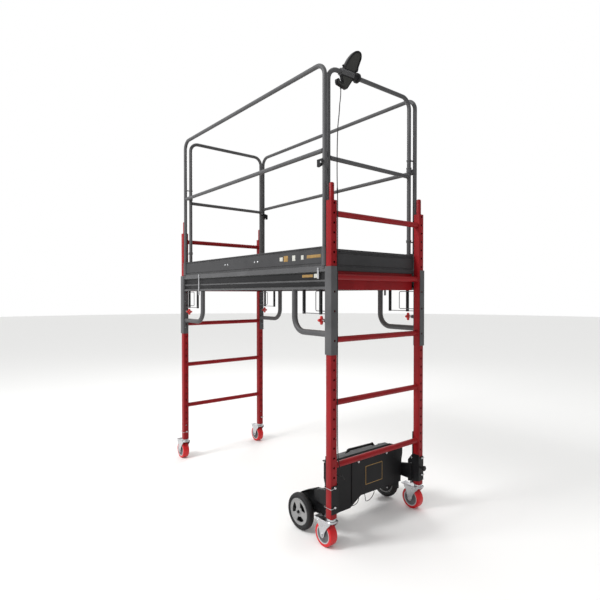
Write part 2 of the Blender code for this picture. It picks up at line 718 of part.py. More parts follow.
def drive_chassis(mats, root):
    """The folded steel tray with its side arms and fenders, and the channels that hug the posts."""
    front = COVER_X - FIT
    inner = POST_X - POST_SIDE / 2 - 0.0005
    outer = POST_X + POST_SIDE / 2 + 0.0005
    web = POST_Y - POST_SIDE / 2 - 0.0005
    flange_y = POST_Y + POST_SIDE / 2 - 0.001
    wall_top = 0.362
    shapes = [
        box((TRAY_X, TRAY_LEFT, TRAY_Z), (front, 0.3005, TRAY_Z + PLATE)),
        box((0.664, -ARM_Y, TRAY_Z), (front, TRAY_LEFT + 0.002, TRAY_Z + PLATE)),
        box((0.664, 0.298, TRAY_Z), (front, ARM_Y, TRAY_Z + PLATE)),
        box((TRAY_X, TRAY_LEFT, TRAY_Z), (TRAY_X + PLATE, 0.3005, wall_top)),
        box((TRAY_X, TRAY_LEFT, TRAY_Z), (front, TRAY_LEFT + PLATE, wall_top)),
        box((TRAY_X, 0.2965, TRAY_Z), (front, 0.3005, wall_top)),
        prism([(0.196, TRAY_Z), (0.288, TRAY_Z), (0.288, 0.366), (0.262, 0.388), (0.196, 0.394)],
              "X", 0.690, 0.764),
        box((0.676, -0.2950, 0.113), (0.757, -0.1400, TRAY_Z + 0.001)),
    ]
    cuts = []
    for side in (-1, 1):
        crest = [(0.700, 0.252), (0.657, 0.234), (0.614, 0.214), (0.582, 0.196), (0.562, 0.178)]
        arm = [(0.768, 0.112), (0.768, 0.262), *crest, (0.566, 0.140), (0.578, 0.096),
               (0.592, 0.084), (0.632, 0.084), (0.660, 0.104)]
        shapes.append(prism(arm, "Y", *sorted((side * (ARM_Y - PLATE), side * ARM_Y))))
        fender = crest + [(x, z - PLATE) for x, z in reversed(crest)]
        shapes.append(prism(fender, "Y", *sorted((side * (ARM_Y - 0.002), side * 0.3320))))
        joggle = [(0.700, 0.190), (0.768, 0.190), (0.768, 0.2700), (0.700, 0.2470)]
        shapes.append(prism(joggle, "Y", *sorted((side * (ARM_Y - 0.002), side * 0.3312))))
        bridge = [(0.755, 0.190), (inner, 0.190), (inner, 0.2860), (0.755, 0.2656)]
        shapes.append(prism(bridge, "Y", *sorted((side * 0.3215, side * (web - 0.002)))))
        shapes.append(mirrored_box(side, (inner - PLATE, web - 0.003, 0.167), (inner, flange_y, 0.480)))
        shapes.append(mirrored_box(side, (outer, web - 0.003, 0.186), (outer + PLATE, flange_y, 0.332)))
        plate = [(0.815, 0.167), (outer + PLATE, 0.186), (outer + PLATE, 0.345), (0.850, 0.345),
                 (0.815, 0.300)]
        shapes.append(prism(plate, "Y", *sorted((side * web, side * (web - PLATE)))))
        cuts.append(rod(0.0105, *sorted((side * 0.290, side * 0.320)), (DRIVE_X, 0, DRIVE_WHEEL_R), "Y", 10))
        for z in (SNAP_PIN_Z, DRIVE_PIN_Z):
            cuts.append(rod(0.0055, 0.830, 0.915, (0, side * POST_Y, z), "X", 8))
    for y in (-0.045, 0.085):
        shapes.append(rod(0.005, TRAY_Z - 0.005, TRAY_Z + 0.001, (0.762, y, 0), "Z", 8))
    piece("drive_chassis", welded(shapes, cuts), mats["black_paint"], root)

    knob_x = outer + PLATE + FIT
    knob_y, knob_z = POST_Y - 0.009, 0.269
    turn = body("clamp_knob_turn", (knob_x, knob_y, knob_z), root)
    profile = (
        (0, knob_x), (0.005, knob_x), (0.005, knob_x + 0.016), (0.010, knob_x + 0.016),
        (0.016, knob_x + 0.020), (0.016, knob_x + 0.030), (0.012, knob_x + 0.033),
        (0, knob_x + 0.033),
    )
    knob = turned(profile, (0, knob_y, knob_z), "X", 12)
    piece("clamp_knob", knob, mats["black_plastic"], turn)


def drive_cover(mats, root):
    """The front cover: a plate with a raised middle, a folded top edge and the cable gland."""
    half = 0.3275
    outline = [
        (-0.289, 0.112), (-0.130, 0.112), (-0.043, 0.162), (0.311, 0.158), (0.320, 0.298),
        (half, 0.330), (half, 0.364), (0.252, 0.4005), (0.206, COVER_TOP), (-half, COVER_TOP),
        (-half, 0.330), (-0.320, 0.298),
        (-0.313, 0.168), (-0.289, 0.148),
    ]
    raised = [(-0.120, 0.130), (-0.045, 0.172), (0.237, 0.170), (0.237, 0.398), (-0.120, 0.398)]
    shapes = [
        prism(outline, "X", COVER_X, COVER_X + PLATE),
        prism(raised, "X", COVER_X + PLATE - 0.001, COVER_X + PLATE + 0.004),
        box((COVER_X - 0.030, -0.310, COVER_TOP - 0.0042), (COVER_X + 0.001, 0.200, COVER_TOP - 0.0002)),
        rod(0.006, COVER_X + 0.002, COVER_X + 0.020, (0, -0.250, 0.335), "X", 8),
    ]
    for y in (-0.062, 0.178):
        shapes.append(rod(0.005, COVER_X + 0.006, COVER_X + 0.011, (0, y, 0.361), "X", 8))
    piece("drive_cover", welded(shapes), mats["black_paint"], root)


def battery(mats, root):
    """The battery box on the tray, with its carrying handle."""
    low, top = TRAY_Z + PLATE + FIT, 0.384
    start, end, rise, slope = -0.100, 0.165, 0.028, 0.030
    handle = [(0.700, start, top - 0.004), (0.700, start + slope, top + rise),
              (0.700, end - slope, top + rise - 0.004), (0.700, end, top - 0.004)]
    shapes = [
        box((0.645, -0.165, low), (0.738, 0.185, top), 0.004),
        bar(rounded(handle, 0.012, 3), 0.007, 8),
    ]
    piece("battery", welded(shapes), mats["black_plastic"], root)


def drive_wheels(mats, root):
    """The two gearmotors under the tray and the wheels that they turn."""
    centre = (DRIVE_X, 0, DRIVE_WHEEL_R)
    near, far = DRIVE_WHEEL_Y
    for side, name in ((-1, "left"), (1, "right")):
        low, high = sorted((side * 0.190, side * (ARM_Y - PLATE - FIT)))
        motor = rod(0.034, low, high, centre, "Y", 16)
        stub = rod(0.008, *sorted((side * 0.300, side * (far + 0.004))), centre, "Y", 12)
        foot = mirrored_box(side, (DRIVE_X - 0.020, 0.215, 0.120), (DRIVE_X + 0.058, 0.285, 0.1645))
        piece(f"gearmotor_{name}", welded([motor, stub, foot]), mats["black_paint"], root)

        spin = body(f"drive_spin_{name}", (DRIVE_X, side * (near + far) / 2, DRIVE_WHEEL_R), root)
        a, b = side * near, side * far
        r = DRIVE_WHEEL_R
        step = side * 0.010
        profile = (
            (r - 0.010, a), (r, a + step), (r, b - step), (r - 0.010, b), (0.072, b),
            (0.066, b - step), (0.024, b - step * 0.8), (0.0090, b - step * 0.8),
            (0.0090, a + step * 0.2), (0.050, a + step * 0.2), (0.072, a + step),
        )
        piece(f"drive_wheel_{name}", turned(profile, centre, "Y", 24), mats["black_rubber"], spin)


# ---------------------------------------------------------------- remote

def remote(mats, gate_near):
    """The remote: rail clamp with its cable hook, hooded housing, joystick and enable button."""
    rail = (GATE_X, 0, GATE_TOP)
    bore = RAIL_TUBE_R + 0.0010
    hanger = [
        (-0.152, 2.520), (-0.205, 2.442), (-0.212, 2.439), (-0.278, 2.451), (-0.282, 2.478),
        (-0.270, 2.484), (-0.262, 2.479), (-0.260, 2.468), (-0.234, 2.466), (-0.250, 2.520),
    ]
    shapes = [
        rod(0.0215, -0.250, -0.129, rail, "Y", 12),
        rod(0.0270, -0.130, -0.113, rail, "Y", 16),
        prism(hanger, "X", GATE_X - 0.008, GATE_X + 0.014),
        rod(0.0055, 2.434, 2.449, (GATE_X + 0.0025, -0.2463, 0), "Z", 8),
    ]
    clamp = welded(shapes, [rod(bore, -0.300, -0.050, rail, "Y", TUBE_SIDES)])
    piece("remote_clamp", clamp, mats["black_plastic"], gate_near)

    base_z = GATE_TOP + 0.0215 + FIT
    outline = [
        (-0.2275, base_z), (-0.2072, 2.588), (-0.1813, 2.627), (-0.1480, 2.664), (-0.1230, 2.679),
        (-0.1030, 2.6805), (-0.0890, 2.670), (-0.0890, 2.643), (-0.1010, 2.614), (-0.1130, 2.585),
        (-0.1180, 2.560), (-0.1310, 2.556), (-0.1310, base_z),
    ]
    low, high = GATE_X - 0.018, GATE_X + 0.009
    housing = prism(outline, "X", low, high)
    rim = housing.modifiers.new("rim", "BEVEL")
    rim.width = 0.006
    rim.segments = 2
    rim.limit_method = "ANGLE"
    rim.angle_limit = math.radians(50)
    stick = Vector((low, -0.148, 2.618))
    button = Vector((0, -0.2185, 2.5677))
    slope = Vector((0, -0.874, 0.486))
    middle = Vector(((low + high) / 2, 0, 0))
    cuts = [
        rod(0.0160, -0.001, 0.011, stick, "X", 12),
        bar([middle + button + slope * t for t in (-0.010, 0.012)], 0.0064, 8),
    ]
    combine(housing, cuts, "DIFFERENCE")
    piece("remote_housing", housing, mats["black_plastic"], gate_near)

    centre = stick + Vector((0.004, 0, 0))
    tilt = body("joystick_tilt", centre, gate_near)
    profile = ((0, 0.005), (0.0050, 0.004), (0.0070, 0.0), (0.0045, -0.006), (0.0045, -0.030),
               (0.0090, -0.034), (0.0090, -0.042), (0.0050, -0.046), (0, -0.046))
    piece("joystick", turned(profile, centre, "X", 10), mats["black_plastic"], tilt)

    push = body("enable_button_push", middle + button, gate_near)
    cap = bar([middle + button + slope * t for t in (-0.0055, 0.0085)], 0.0055, 8)
    piece("enable_button", cap, mats["black_plastic"], push)


def cables(mats, root, gate_near):
    """The remote's cable in its two lengths, which meet beside the post's top, and motor leads."""
    front = POST_X + POST_SIDE / 2 + CABLE_D / 2 + 0.001
    meet = Vector((front, -0.3430, 1.860))
    run = Vector((0.0, 0.006, -0.200)).normalized()
    hang = (GATE_X + 0.0025, -0.2463)
    upper = [
        (*hang, 2.434 - FIT * 1.8), (*hang, 2.415), (0.8215, -0.2495, 2.396),
        (0.8350, -0.2655, 2.362), (0.8610, -0.2935, 2.328), (0.8830, -0.3160, 2.294),
        (0.8950, -0.3310, 2.250), (front, -0.3400, 2.190), (front, -0.3440, 2.100),
        (front, -0.3455, 2.000), meet - run * 0.060, meet - run * 0.030, meet - run * FIT * 0.6,
    ]
    cable("remote_cable_upper", upper, 18, CABLE_D, mats["black_rubber"], gate_near)
    gland = (-0.250, 0.335)
    lower = [
        meet + run * FIT * 0.6, meet + run * 0.030, meet + run * 0.060, (front, -0.3410, 1.720),
        (front, -0.3410, 1.500), (front, -0.3410, 1.250), (front, -0.3410, 1.000),
        (front, -0.3410, 0.750), (front, -0.3400, 0.560), (front + 0.001, -0.3340, 0.460),
        (front + 0.001, -0.3160, 0.395), (0.8880, -0.2880, 0.354), (0.8700, -0.2600, 0.338),
        (0.8520, *gland), (0.8250, *gland), (COVER_X + 0.020 + FIT * 1.4, *gland),
    ]
    cable("remote_cable_lower", lower, 32, CABLE_D, mats["black_rubber"], root)
    start = TRAY_Z - 0.005 - FIT * 1.4
    finish = 0.190 - FIT * 1.4
    left = [
        (0.762, -0.045, start), (0.762, -0.045, 0.150), (0.762, -0.045, 0.140),
        (0.760, -0.054, 0.118), (0.748, -0.072, 0.101), (0.720, -0.088, 0.094),
        (0.682, -0.100, 0.093), (0.645, -0.116, 0.097), (0.620, -0.138, 0.101),
        (DRIVE_X, -0.160, DRIVE_WHEEL_R), (DRIVE_X, -0.175, DRIVE_WHEEL_R),
        (DRIVE_X, -finish, DRIVE_WHEEL_R),
    ]
    right = [
        (0.762, 0.085, start), (0.762, 0.085, 0.150), (0.762, 0.085, 0.140),
        (0.760, 0.068, 0.116), (0.750, 0.050, 0.098), (0.728, 0.050, 0.088),
        (0.695, 0.080, 0.089), (0.650, 0.120, 0.096), (0.622, 0.145, 0.101),
        (DRIVE_X, 0.162, DRIVE_WHEEL_R), (DRIVE_X, 0.175, DRIVE_WHEEL_R),
        (DRIVE_X, finish, DRIVE_WHEEL_R),
    ]
    cable("motor_lead_left", left, 15, LEAD_D, mats["black_rubber"], root)
    cable("motor_lead_right", right, 15, LEAD_D, mats["black_rubber"], root)


# ---------------------------------------------------------------- the scaffold

def build():
    for obj in list(bpy.data.objects):
        bpy.data.objects.remove(obj, do_unlink=True)
    mats = {
        "red_paint": material("red_paint", (0.42, 0.020, 0.025), 0.38),
        "grey_paint": material("grey_paint", (0.075, 0.075, 0.078), 0.48),
        "black_paint": material("black_paint", (0.016, 0.016, 0.017), 0.45),
        "black_plastic": material("black_plastic", (0.020, 0.020, 0.021), 0.50),
        "black_rubber": material("black_rubber", (0.022, 0.022, 0.022), 0.75),
        "red_tread": material("red_tread", (0.75, 0.020, 0.020), 0.40),
        "red_plastic": material("red_plastic", (0.65, 0.030, 0.025), 0.40),
        "zinc": material("zinc", (0.78, 0.79, 0.80), 0.30, 1.0),
        "deck_board": material("deck_board", (0.36, 0.22, 0.11), 0.60),
    }
    root = body("scaffold")
    platform = body("platform", (0, 0, DECK_TOP), root)
    end_frame("end_frame_near", 1, mats, root)
    end_frame("end_frame_far", -1, mats, root)
    for end, side in CORNERS:
        caster(end, side, mats, root)
        lock_pin(end, side, mats, platform)
        deck_latch(end, side, mats, platform)
    for side in (-1, 1):
        side_bracket(side, mats, platform)
        guardrail(side, mats, platform)
    deck(mats, platform)
    toe_boards(mats, platform)
    gate_near = gate(1, mats, platform)
    gate(-1, mats, platform)
    drive_chassis(mats, root)
    drive_cover(mats, root)
    battery(mats, root)
    drive_wheels(mats, root)
    remote(mats, gate_near)
    cables(mats, root, gate_near)


build()
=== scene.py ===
"""Looks for the baker scaffold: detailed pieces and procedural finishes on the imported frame.

Metres, +Z up. Positions are written from the middle of the four posts, as in the CAD, and SHIFT
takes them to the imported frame's origin. +X is the end that carries the drive, -Y the left side.
"""
import math

import bmesh
import bpy
from mathutils import Matrix, Vector


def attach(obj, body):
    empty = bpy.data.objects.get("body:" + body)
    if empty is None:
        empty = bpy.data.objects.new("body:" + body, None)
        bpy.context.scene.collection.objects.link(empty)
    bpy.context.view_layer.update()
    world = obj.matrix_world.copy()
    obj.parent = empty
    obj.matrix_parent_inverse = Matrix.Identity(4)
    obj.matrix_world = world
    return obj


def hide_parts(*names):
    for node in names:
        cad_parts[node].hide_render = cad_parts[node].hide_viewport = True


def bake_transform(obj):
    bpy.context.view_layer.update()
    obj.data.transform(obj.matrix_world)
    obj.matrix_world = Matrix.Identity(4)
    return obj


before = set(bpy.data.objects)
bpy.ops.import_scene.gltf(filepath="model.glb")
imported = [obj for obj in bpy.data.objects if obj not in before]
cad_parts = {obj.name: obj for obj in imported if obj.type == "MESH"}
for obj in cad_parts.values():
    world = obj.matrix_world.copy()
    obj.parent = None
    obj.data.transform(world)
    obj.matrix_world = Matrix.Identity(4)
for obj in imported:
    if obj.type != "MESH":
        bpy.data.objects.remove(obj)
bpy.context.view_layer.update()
SHIFT = Vector((0.0261, 0.0, 0.0))
TAU = math.tau

# ---- end frames and casters ----
POST_X, POST_Y, POST_SIDE = 0.872, 0.361, 0.042
POST_BOTTOM, POST_TOP, PIN_TOP, PIN_R = 0.159, 1.812, 1.905, 0.0135
HOLE_PITCH, HOLE_FIRST_Z, HOLE_COUNT, HOLE_R = 0.0508, 0.222, 32, 0.0064
RUNG_R, RUNG_TOP_Z, RUNG_PITCH, RUNG_COUNT = 0.016, 1.7465, 0.329, 5
WHEEL_R, WHEEL_HALF, TRAIL, CROWN_LOW, CROWN_TOP = 0.0635, 0.025, 0.04, 0.135, 0.146

# ---- platform ----
SLEEVE_GAP, SLEEVE_WALL, SLEEVE_BOTTOM, SLEEVE_TOP = 0.001, 0.004, 1.012, 1.471
RAIL_BOTTOM, RAIL_TOP, RAIL_FACE_Y = 1.352, 1.4755, 0.38
LOCK_PIN_Z = HOLE_FIRST_Z + 19 * HOLE_PITCH
BRACE_X, BRACE_Z, BRACE_R, BRACE_BEND = 0.563, 1.117, 0.0165, 0.085
HANGER_X, WIRE_R = (0.647, 0.788), 0.0024
LATCH_FAR_X, LATCH_NEAR_X, LATCH_Z = 0.585, 0.79, 1.458
DECK_TOP, TOE_TOP, END_TOE_TOP = 1.47, 1.578, 1.567

# ---- guardrails and gates ----
TUBE_R, LEG_X, LEG_Y = 0.0125, 0.832, 0.373
GUARD_TOP, GUARD_MID, GUARD_FOOT = 2.534, 2.08, 1.463
GATE_X, GATE_Y, GATE_TOP, GATE_MID, GATE_FOOT = 0.8165, 0.3355, 2.5275, 2.05, 1.5
CORNER_BEND, KEEPER_Z, HOOK_PIVOT_Z = 0.065, 2.012, 2.035
HINGE_RINGS = ((2.149, 0.008), (2.085, 0.025), (1.647, 0.008))

# ---- drive, remote and cables ----
DRIVE_R, DRIVE_X, DRIVE_Y = 0.102, 0.612, (0.335, 0.377)
TRAY_Z, COVER_X, ARM_Y = 0.165, 0.774, 0.3055
CABLE_D, LEAD_D, FIT = 0.005, 0.004, 0.0003

ENDS, SIDES = {1: "near", -1: "far"}, {-1: "left", 1: "right"}


# ---- shapes ----

def facing(direction):
    """A turn that takes +Z to the direction."""
    return Vector(direction).to_track_quat("Z", "Y").to_matrix()


def rounded(points, bend, steps):
    """The points with each inner corner replaced by an arc of radius bend."""
    points = [Vector(p) for p in points]
    path = [points[0]]
    for before, corner, after in zip(points, points[1:], points[2:]):
        back, on = (before - corner).normalized(), (after - corner).normalized()
        half = back.angle(on) / 2
        reach = bend / math.tan(half)
        centre = corner + (back + on).normalized() * bend / math.sin(half)
        first, last = corner + back * reach - centre, corner + on * reach - centre
        for k in range(steps + 1):
            path.append(centre + bend * first.slerp(last, k / steps).normalized())
    path.append(points[-1])
    return path


def smooth_route(points, count, closed=False):
    """count points, evenly spaced, on a smooth curve through the route's own points."""
    points = [Vector(p) for p in points]
    if closed:
        padded = [points[-1], *points, points[0], points[1]]
    else:
        padded = [2 * points[0] - points[1], *points, 2 * points[-1] - points[-2]]
    fine = []
    for a, b, c, d in zip(padded, padded[1:], padded[2:], padded[3:]):
        for k in range(24):
            t = k / 24
            fine.append(0.5 * (2 * b + (c - a) * t + (2 * a - 5 * b + 4 * c - d) * t * t
                               + (3 * b - a - 3 * c + d) * t ** 3))
    fine.append(points[0] if closed else points[-1])
    lengths = [0.0]
    for a, b in zip(fine, fine[1:]):
        lengths.append(lengths[-1] + (b - a).length)
    route, k, spans = [], 0, count if closed else count - 1
    for i in range(count):
        want = lengths[-1] * i / spans
        while k < len(fine) - 2 and lengths[k + 1] < want:
            k += 1
        step = (want - lengths[k]) / (lengths[k + 1] - lengths[k])
        route.append(fine[k].lerp(fine[k + 1], step))
    return route


def smooth_outline(points, count, closed=True):
    """A smooth flat outline through flat points."""
    route = smooth_route([(a, b, 0) for a, b in points], count, closed)
    return [(p.x, p.y) for p in route]


def inset(outline, distance):
    """A flat outline moved inwards by distance at every corner."""
    area = sum(a[0] * b[1] - b[0] * a[1] for a, b in zip(outline, outline[1:] + outline[:1]))
    turn = 1 if area > 0 else -1
    result = []
    for before, point, after in zip(outline[-1:] + outline[:-1], outline, outline[1:] + outline[:1]):
        one = Vector((point[0] - before[0], point[1] - before[1])).normalized()
        two = Vector((after[0] - point[0], after[1] - point[1])).normalized()
        normal = Vector((-(one.y + two.y), one.x + two.x))
        if normal.length < 1e-6:
            normal = Vector((-one.y, one.x))
        normal.normalize()
        lean = max(0.45, normal.dot(Vector((-one.y, one.x))))
        result.append((point[0] + turn * normal.x * distance / lean,
                       point[1] + turn * normal.y * distance / lean))
    return result


def moved(points, a=0.0, b=0.0, flip_a=1, flip_b=1):
    """Flat points, flipped and then moved."""
    return [(a + flip_a * p, b + flip_b * q) for p, q in points]


def mirrored(points):
    """Flat points, then the same ones backwards with their second number negated."""
    return [*points, *((p, -q) for p, q in reversed(points))]


def ring_points(a, b, radius, count, depth=0.0, lobes=0):
    """Flat points round (a, b), in and out by depth at each lobe."""
    points = []
    for angle in (TAU * k / count for k in range(count)):
        out = radius + depth * math.cos(lobes * angle)
        points.append((a + out * math.cos(angle), b + out * math.sin(angle)))
    return points


# Where a flat point (a, b) at depth t lies, and the turns that take +Z to an axis.
PLACES = {
    "X": lambda a, b, t: (t, a, b),
    "Y": lambda a, b, t: (a, t, b),
    "Z": lambda a, b, t: (a, b, t),
}
AXES = {
    "X": Matrix(((0, 0, 1), (1, 0, 0), (0, 1, 0))),
    "Y": Matrix(((0, 1, 0), (0, 0, 1), (1, 0, 0))),
    "Z": Matrix.Identity(3),
}


def placed(name, data):
    """A new object in the scene."""
    obj = bpy.data.objects.new(name, data)
    bpy.context.scene.collection.objects.link(obj)
    return obj


def mesh_of(bm, name="form"):
    """A bare mesh from bm, which is used up."""
    mesh = bpy.data.meshes.new(name)
    bm.to_mesh(mesh)
    bm.free()
    return mesh


class Form:
    """A mesh in the making, in metres from the middle of the four posts."""

    def __init__(self):
        self.bm = bmesh.new()

    def skin(self, loops, around=False):
        """Faces between loops of points, closed by flat ends or carried round to the start."""
        rings = [[self.bm.verts.new(p) for p in loop] for loop in loops]
        pairs = list(zip(rings, rings[1:]))
        if around:
            pairs.append((rings[-1], rings[0]))
        for a, b in pairs:
            count = max(len(a), len(b))
            for i in range(count):
                j = (i + 1) % count
                corners = [a[i % len(a)], a[j % len(a)], b[j % len(b)], b[i % len(b)]]
                unique = list(dict.fromkeys(corners))
                if len(unique) > 2:
                    self.bm.faces.new(unique)
        if not around:
            for ring in (rings[0], rings[-1]):
                if len(ring) > 2:
                    self.bm.faces.new(ring)

    def lathe(self, profile, centre, axis, sides):
        """A profile of (radius, distance along the axis) turned about the axis through centre.

        The axis is a letter or a direction. A profile that doesn't start on it makes a ring.
        """
        basis = AXES[axis] if isinstance(axis, str) else facing(axis)
        centre = Vector(centre)
        loops = []
        for radius, along in profile:
            loop = []
            for i in range(1 if radius < 1e-6 else sides):
                angle = TAU * i / sides
                local = Vector((radius * math.cos(angle), radius * math.sin(angle), along))
                loop.append(centre + basis @ local)
            loops.append(loop)
        self.skin(loops, around=profile[0][0] > 0)

    def rod(self, radius, start, end, centre, axis, sides, edge=0.0008):
        """A round rod with slightly broken edges."""
        start, end = sorted((start, end))
        edge = min(edge, radius / 3, (end - start) / 3)
        self.lathe(((0, start), (radius - edge, start), (radius, start + edge),
                    (radius, end - edge), (radius - edge, end), (0, end)), centre, axis, sides)

    def collar(self, outer, inner, start, end, centre, axis, sides, edge=0.0008):
        """A ring with a through bore."""
        start, end = sorted((start, end))
        self.lathe(((outer, start + edge), (outer, end - edge), (outer - edge, end), (inner, end),
                    (inner, start), (outer - edge, start)), centre, axis, sides)

    def tube(self, path, radius, sides, ripple=0.0):
        """A round bar along a path; ripple makes the beads of a weld."""
        path = [Vector(p) for p in path]
        directions = [(b - a).normalized() for a, b in zip(path, path[1:])]
        tangents = [directions[0]]
        tangents += [(a + b).normalized() for a, b in zip(directions, directions[1:])]
        tangents.append(directions[-1])
        normal = tangents[0].orthogonal().normalized()
        loops = []
        for k, (point, tangent) in enumerate(zip(path, tangents)):
            if k:
                normal = tangents[k - 1].rotation_difference(tangent) @ normal
            across = tangent.cross(normal)
            size = radius * (1 + ripple * (-1) ** k)
            loops.append([point + (normal * math.cos(TAU * i / sides)
                                   + across * math.sin(TAU * i / sides)) * size
                          for i in range(sides)])
        self.skin(loops)

    def seam(self, start, end, size):
        """A straight weld bead."""
        start, end = Vector(start), Vector(end)
        count = max(4, int((end - start).length / 0.004))
        self.tube([start.lerp(end, k / count) for k in range(count + 1)], size, 8, 0.14)

    def bead(self, centre, axis, ring, size):
        """A weld bead round a tube's end."""
        steps = 2 * max(10, int(ring * 900))
        loops = []
        for i in range(steps):
            angle = TAU * i / steps
            out = Vector((math.cos(angle), math.sin(angle), 0))
            thick = size * (1 + 0.14 * (-1) ** i)
            loop = []
            for k in range(6):
                turn = TAU * k / 6
                local = out * (ring + thick * math.cos(turn)) + Vector((0, 0, thick * math.sin(turn)))
                loop.append(Vector(centre) + AXES[axis] @ local)
            loops.append(loop)
        self.skin(loops, around=True)

    def plate(self, outline, axis, start, end, edge=0.0):
        """A flat outline extruded along an axis, with its edges broken by edge."""
        place = PLACES[axis]
        start, end = sorted((start, end))
        outline = [tuple(p) for p in outline]
        if edge:
            small = inset(outline, edge)
            steps = ((small, start), (outline, start + edge), (outline, end - edge), (small, end))
        else:
            steps = ((outline, start), (outline, end))
        self.skin([[place(a, b, t) for a, b in shape] for shape, t in steps])

    def block(self, low, high, edge):
        """A box with rounded edges."""
        low, high = Vector(low), Vector(high)
        low, high = Vector(map(min, low, high)), Vector(map(max, low, high))
        made = bmesh.ops.create_cube(self.bm, size=1.0)["verts"]
        for vert in made:
            vert.co = Vector(vert.co[i] * (high - low)[i] + ((low + high) / 2)[i] for i in range(3))
        edges = list(dict.fromkeys(e for v in made for e in v.link_edges))
        bmesh.ops.bevel(self.bm, geom=edges, offset=edge, segments=2, profile=0.7, affect="EDGES")

    def bolt(self, centre, direction, radius, height, sides=6):
        """A head with its washer, standing on a face."""
        wide = radius * 1.3
        self.lathe(((0, 0), (wide, 0), (wide, height * 0.2), (0, height * 0.2)), centre, direction, 24)
        self.lathe(((0, height * 0.1), (radius, height * 0.1), (radius, height * 0.8),
                    (radius * 0.8, height), (0, height)), centre, direction, sides)

    def shell(self, name="form"):
        """The mesh so far as a bare object."""
        bmesh.ops.recalc_face_normals(self.bm, faces=self.bm.faces)
        return placed(name, mesh_of(self.bm, name))

    def carve(self, cuts):
        """Take the cuts' closed shapes out of the mesh so far."""
        obj, tool = self.shell(), cuts.shell()
        cutter = obj.modifiers.new("cuts", "BOOLEAN")
        cutter.operation, cutter.solver, cutter.object = "DIFFERENCE", "EXACT", tool
        graph = bpy.context.evaluated_depsgraph_get()
        mesh = bpy.data.meshes.new_from_object(obj.evaluated_get(graph))
        self.bm = bmesh.new()
        self.bm.from_mesh(mesh)
        for spent in (obj, tool):
            bpy.data.objects.remove(spent, do_unlink=True)

    def take(self, other):
        """Add another form's mesh to this one."""
        self.bm.from_mesh(mesh_of(other.bm))

    def finish(self, name, mat, body, nodes=(), slot=None):
        """Make the named piece, give it its material and let it ride on its body."""
        bmesh.ops.translate(self.bm, vec=SHIFT, verts=self.bm.verts)
        obj = self.shell(name)
        obj.data.materials.append(mat)
        obj.data.shade_smooth()
        obj.data.set_sharp_from_angle(angle=math.radians(35))
        if body:
            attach(obj, body)
        if nodes:
            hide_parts(*nodes)
        return obj


# ---- materials ----

def feed(tree, made, inputs):
    """Set or link a node's inputs."""
    for key, value in inputs.items():
        if isinstance(value, bpy.types.NodeSocket):
            tree.links.new(value, made.inputs[key])
        else:
            made.inputs[key].default_value = value


def node(tree, kind, out, inputs=None, **values):
    """The out socket of a new node, which is set beside the ones before it."""
    made = tree.nodes.new(f"ShaderNode{kind}")
    made.location = (180 * len(tree.nodes), 0)
    for key, value in values.items():
        setattr(made, key, value)
    feed(tree, made, inputs or {})
    return made.outputs[out]


def noise(tree, source, scale, detail, distortion=0.0):
    return node(tree, "TexNoise", "Fac", {"Vector": source, "Scale": scale, "Detail": detail,
                                          "Distortion": distortion})


def remap(tree, source, low, high, out_low, out_high):
    return node(tree, "MapRange", "Result", {"Value": source, "From Min": low, "From Max": high,
                                             "To Min": out_low, "To Max": out_high})


def blend_colour(tree, factor, one, two):
    return node(tree, "Mix", 2, {"Factor": factor, 6: one, 7: two}, data_type="RGBA")


def multiply(tree, one, two):
    return node(tree, "Math", 0, {0: one, 1: two}, operation="MULTIPLY")


def align(tree, one, two):
    return node(tree, "VectorMath", "Value", {0: one, 1: two}, operation="DOT_PRODUCT")


def stretched(tree, place, scale):
    return node(tree, "Mapping", "Vector", {"Vector": place, "Scale": scale})


def bumped(tree, height, strength, distance, **more):
    return node(tree, "Bump", "Normal", {"Height": height, "Strength": strength,
                                         "Distance": distance, **more})


def new_look(name):
    """A new material with its tree, its shader and its object coordinates."""
    mat = bpy.data.materials.new(f"look_{name}")
    mat.use_nodes = True
    tree = mat.node_tree
    return mat, tree, tree.nodes["Principled BSDF"], node(tree, "TexCoord", "Object")


def tint(colour, share=1.0):
    """A colour, made darker or lighter, from a triple or from one number for a grey."""
    triple = (colour,) * 3 if isinstance(colour, float) else colour
    return (*(c * share for c in triple), 1.0)


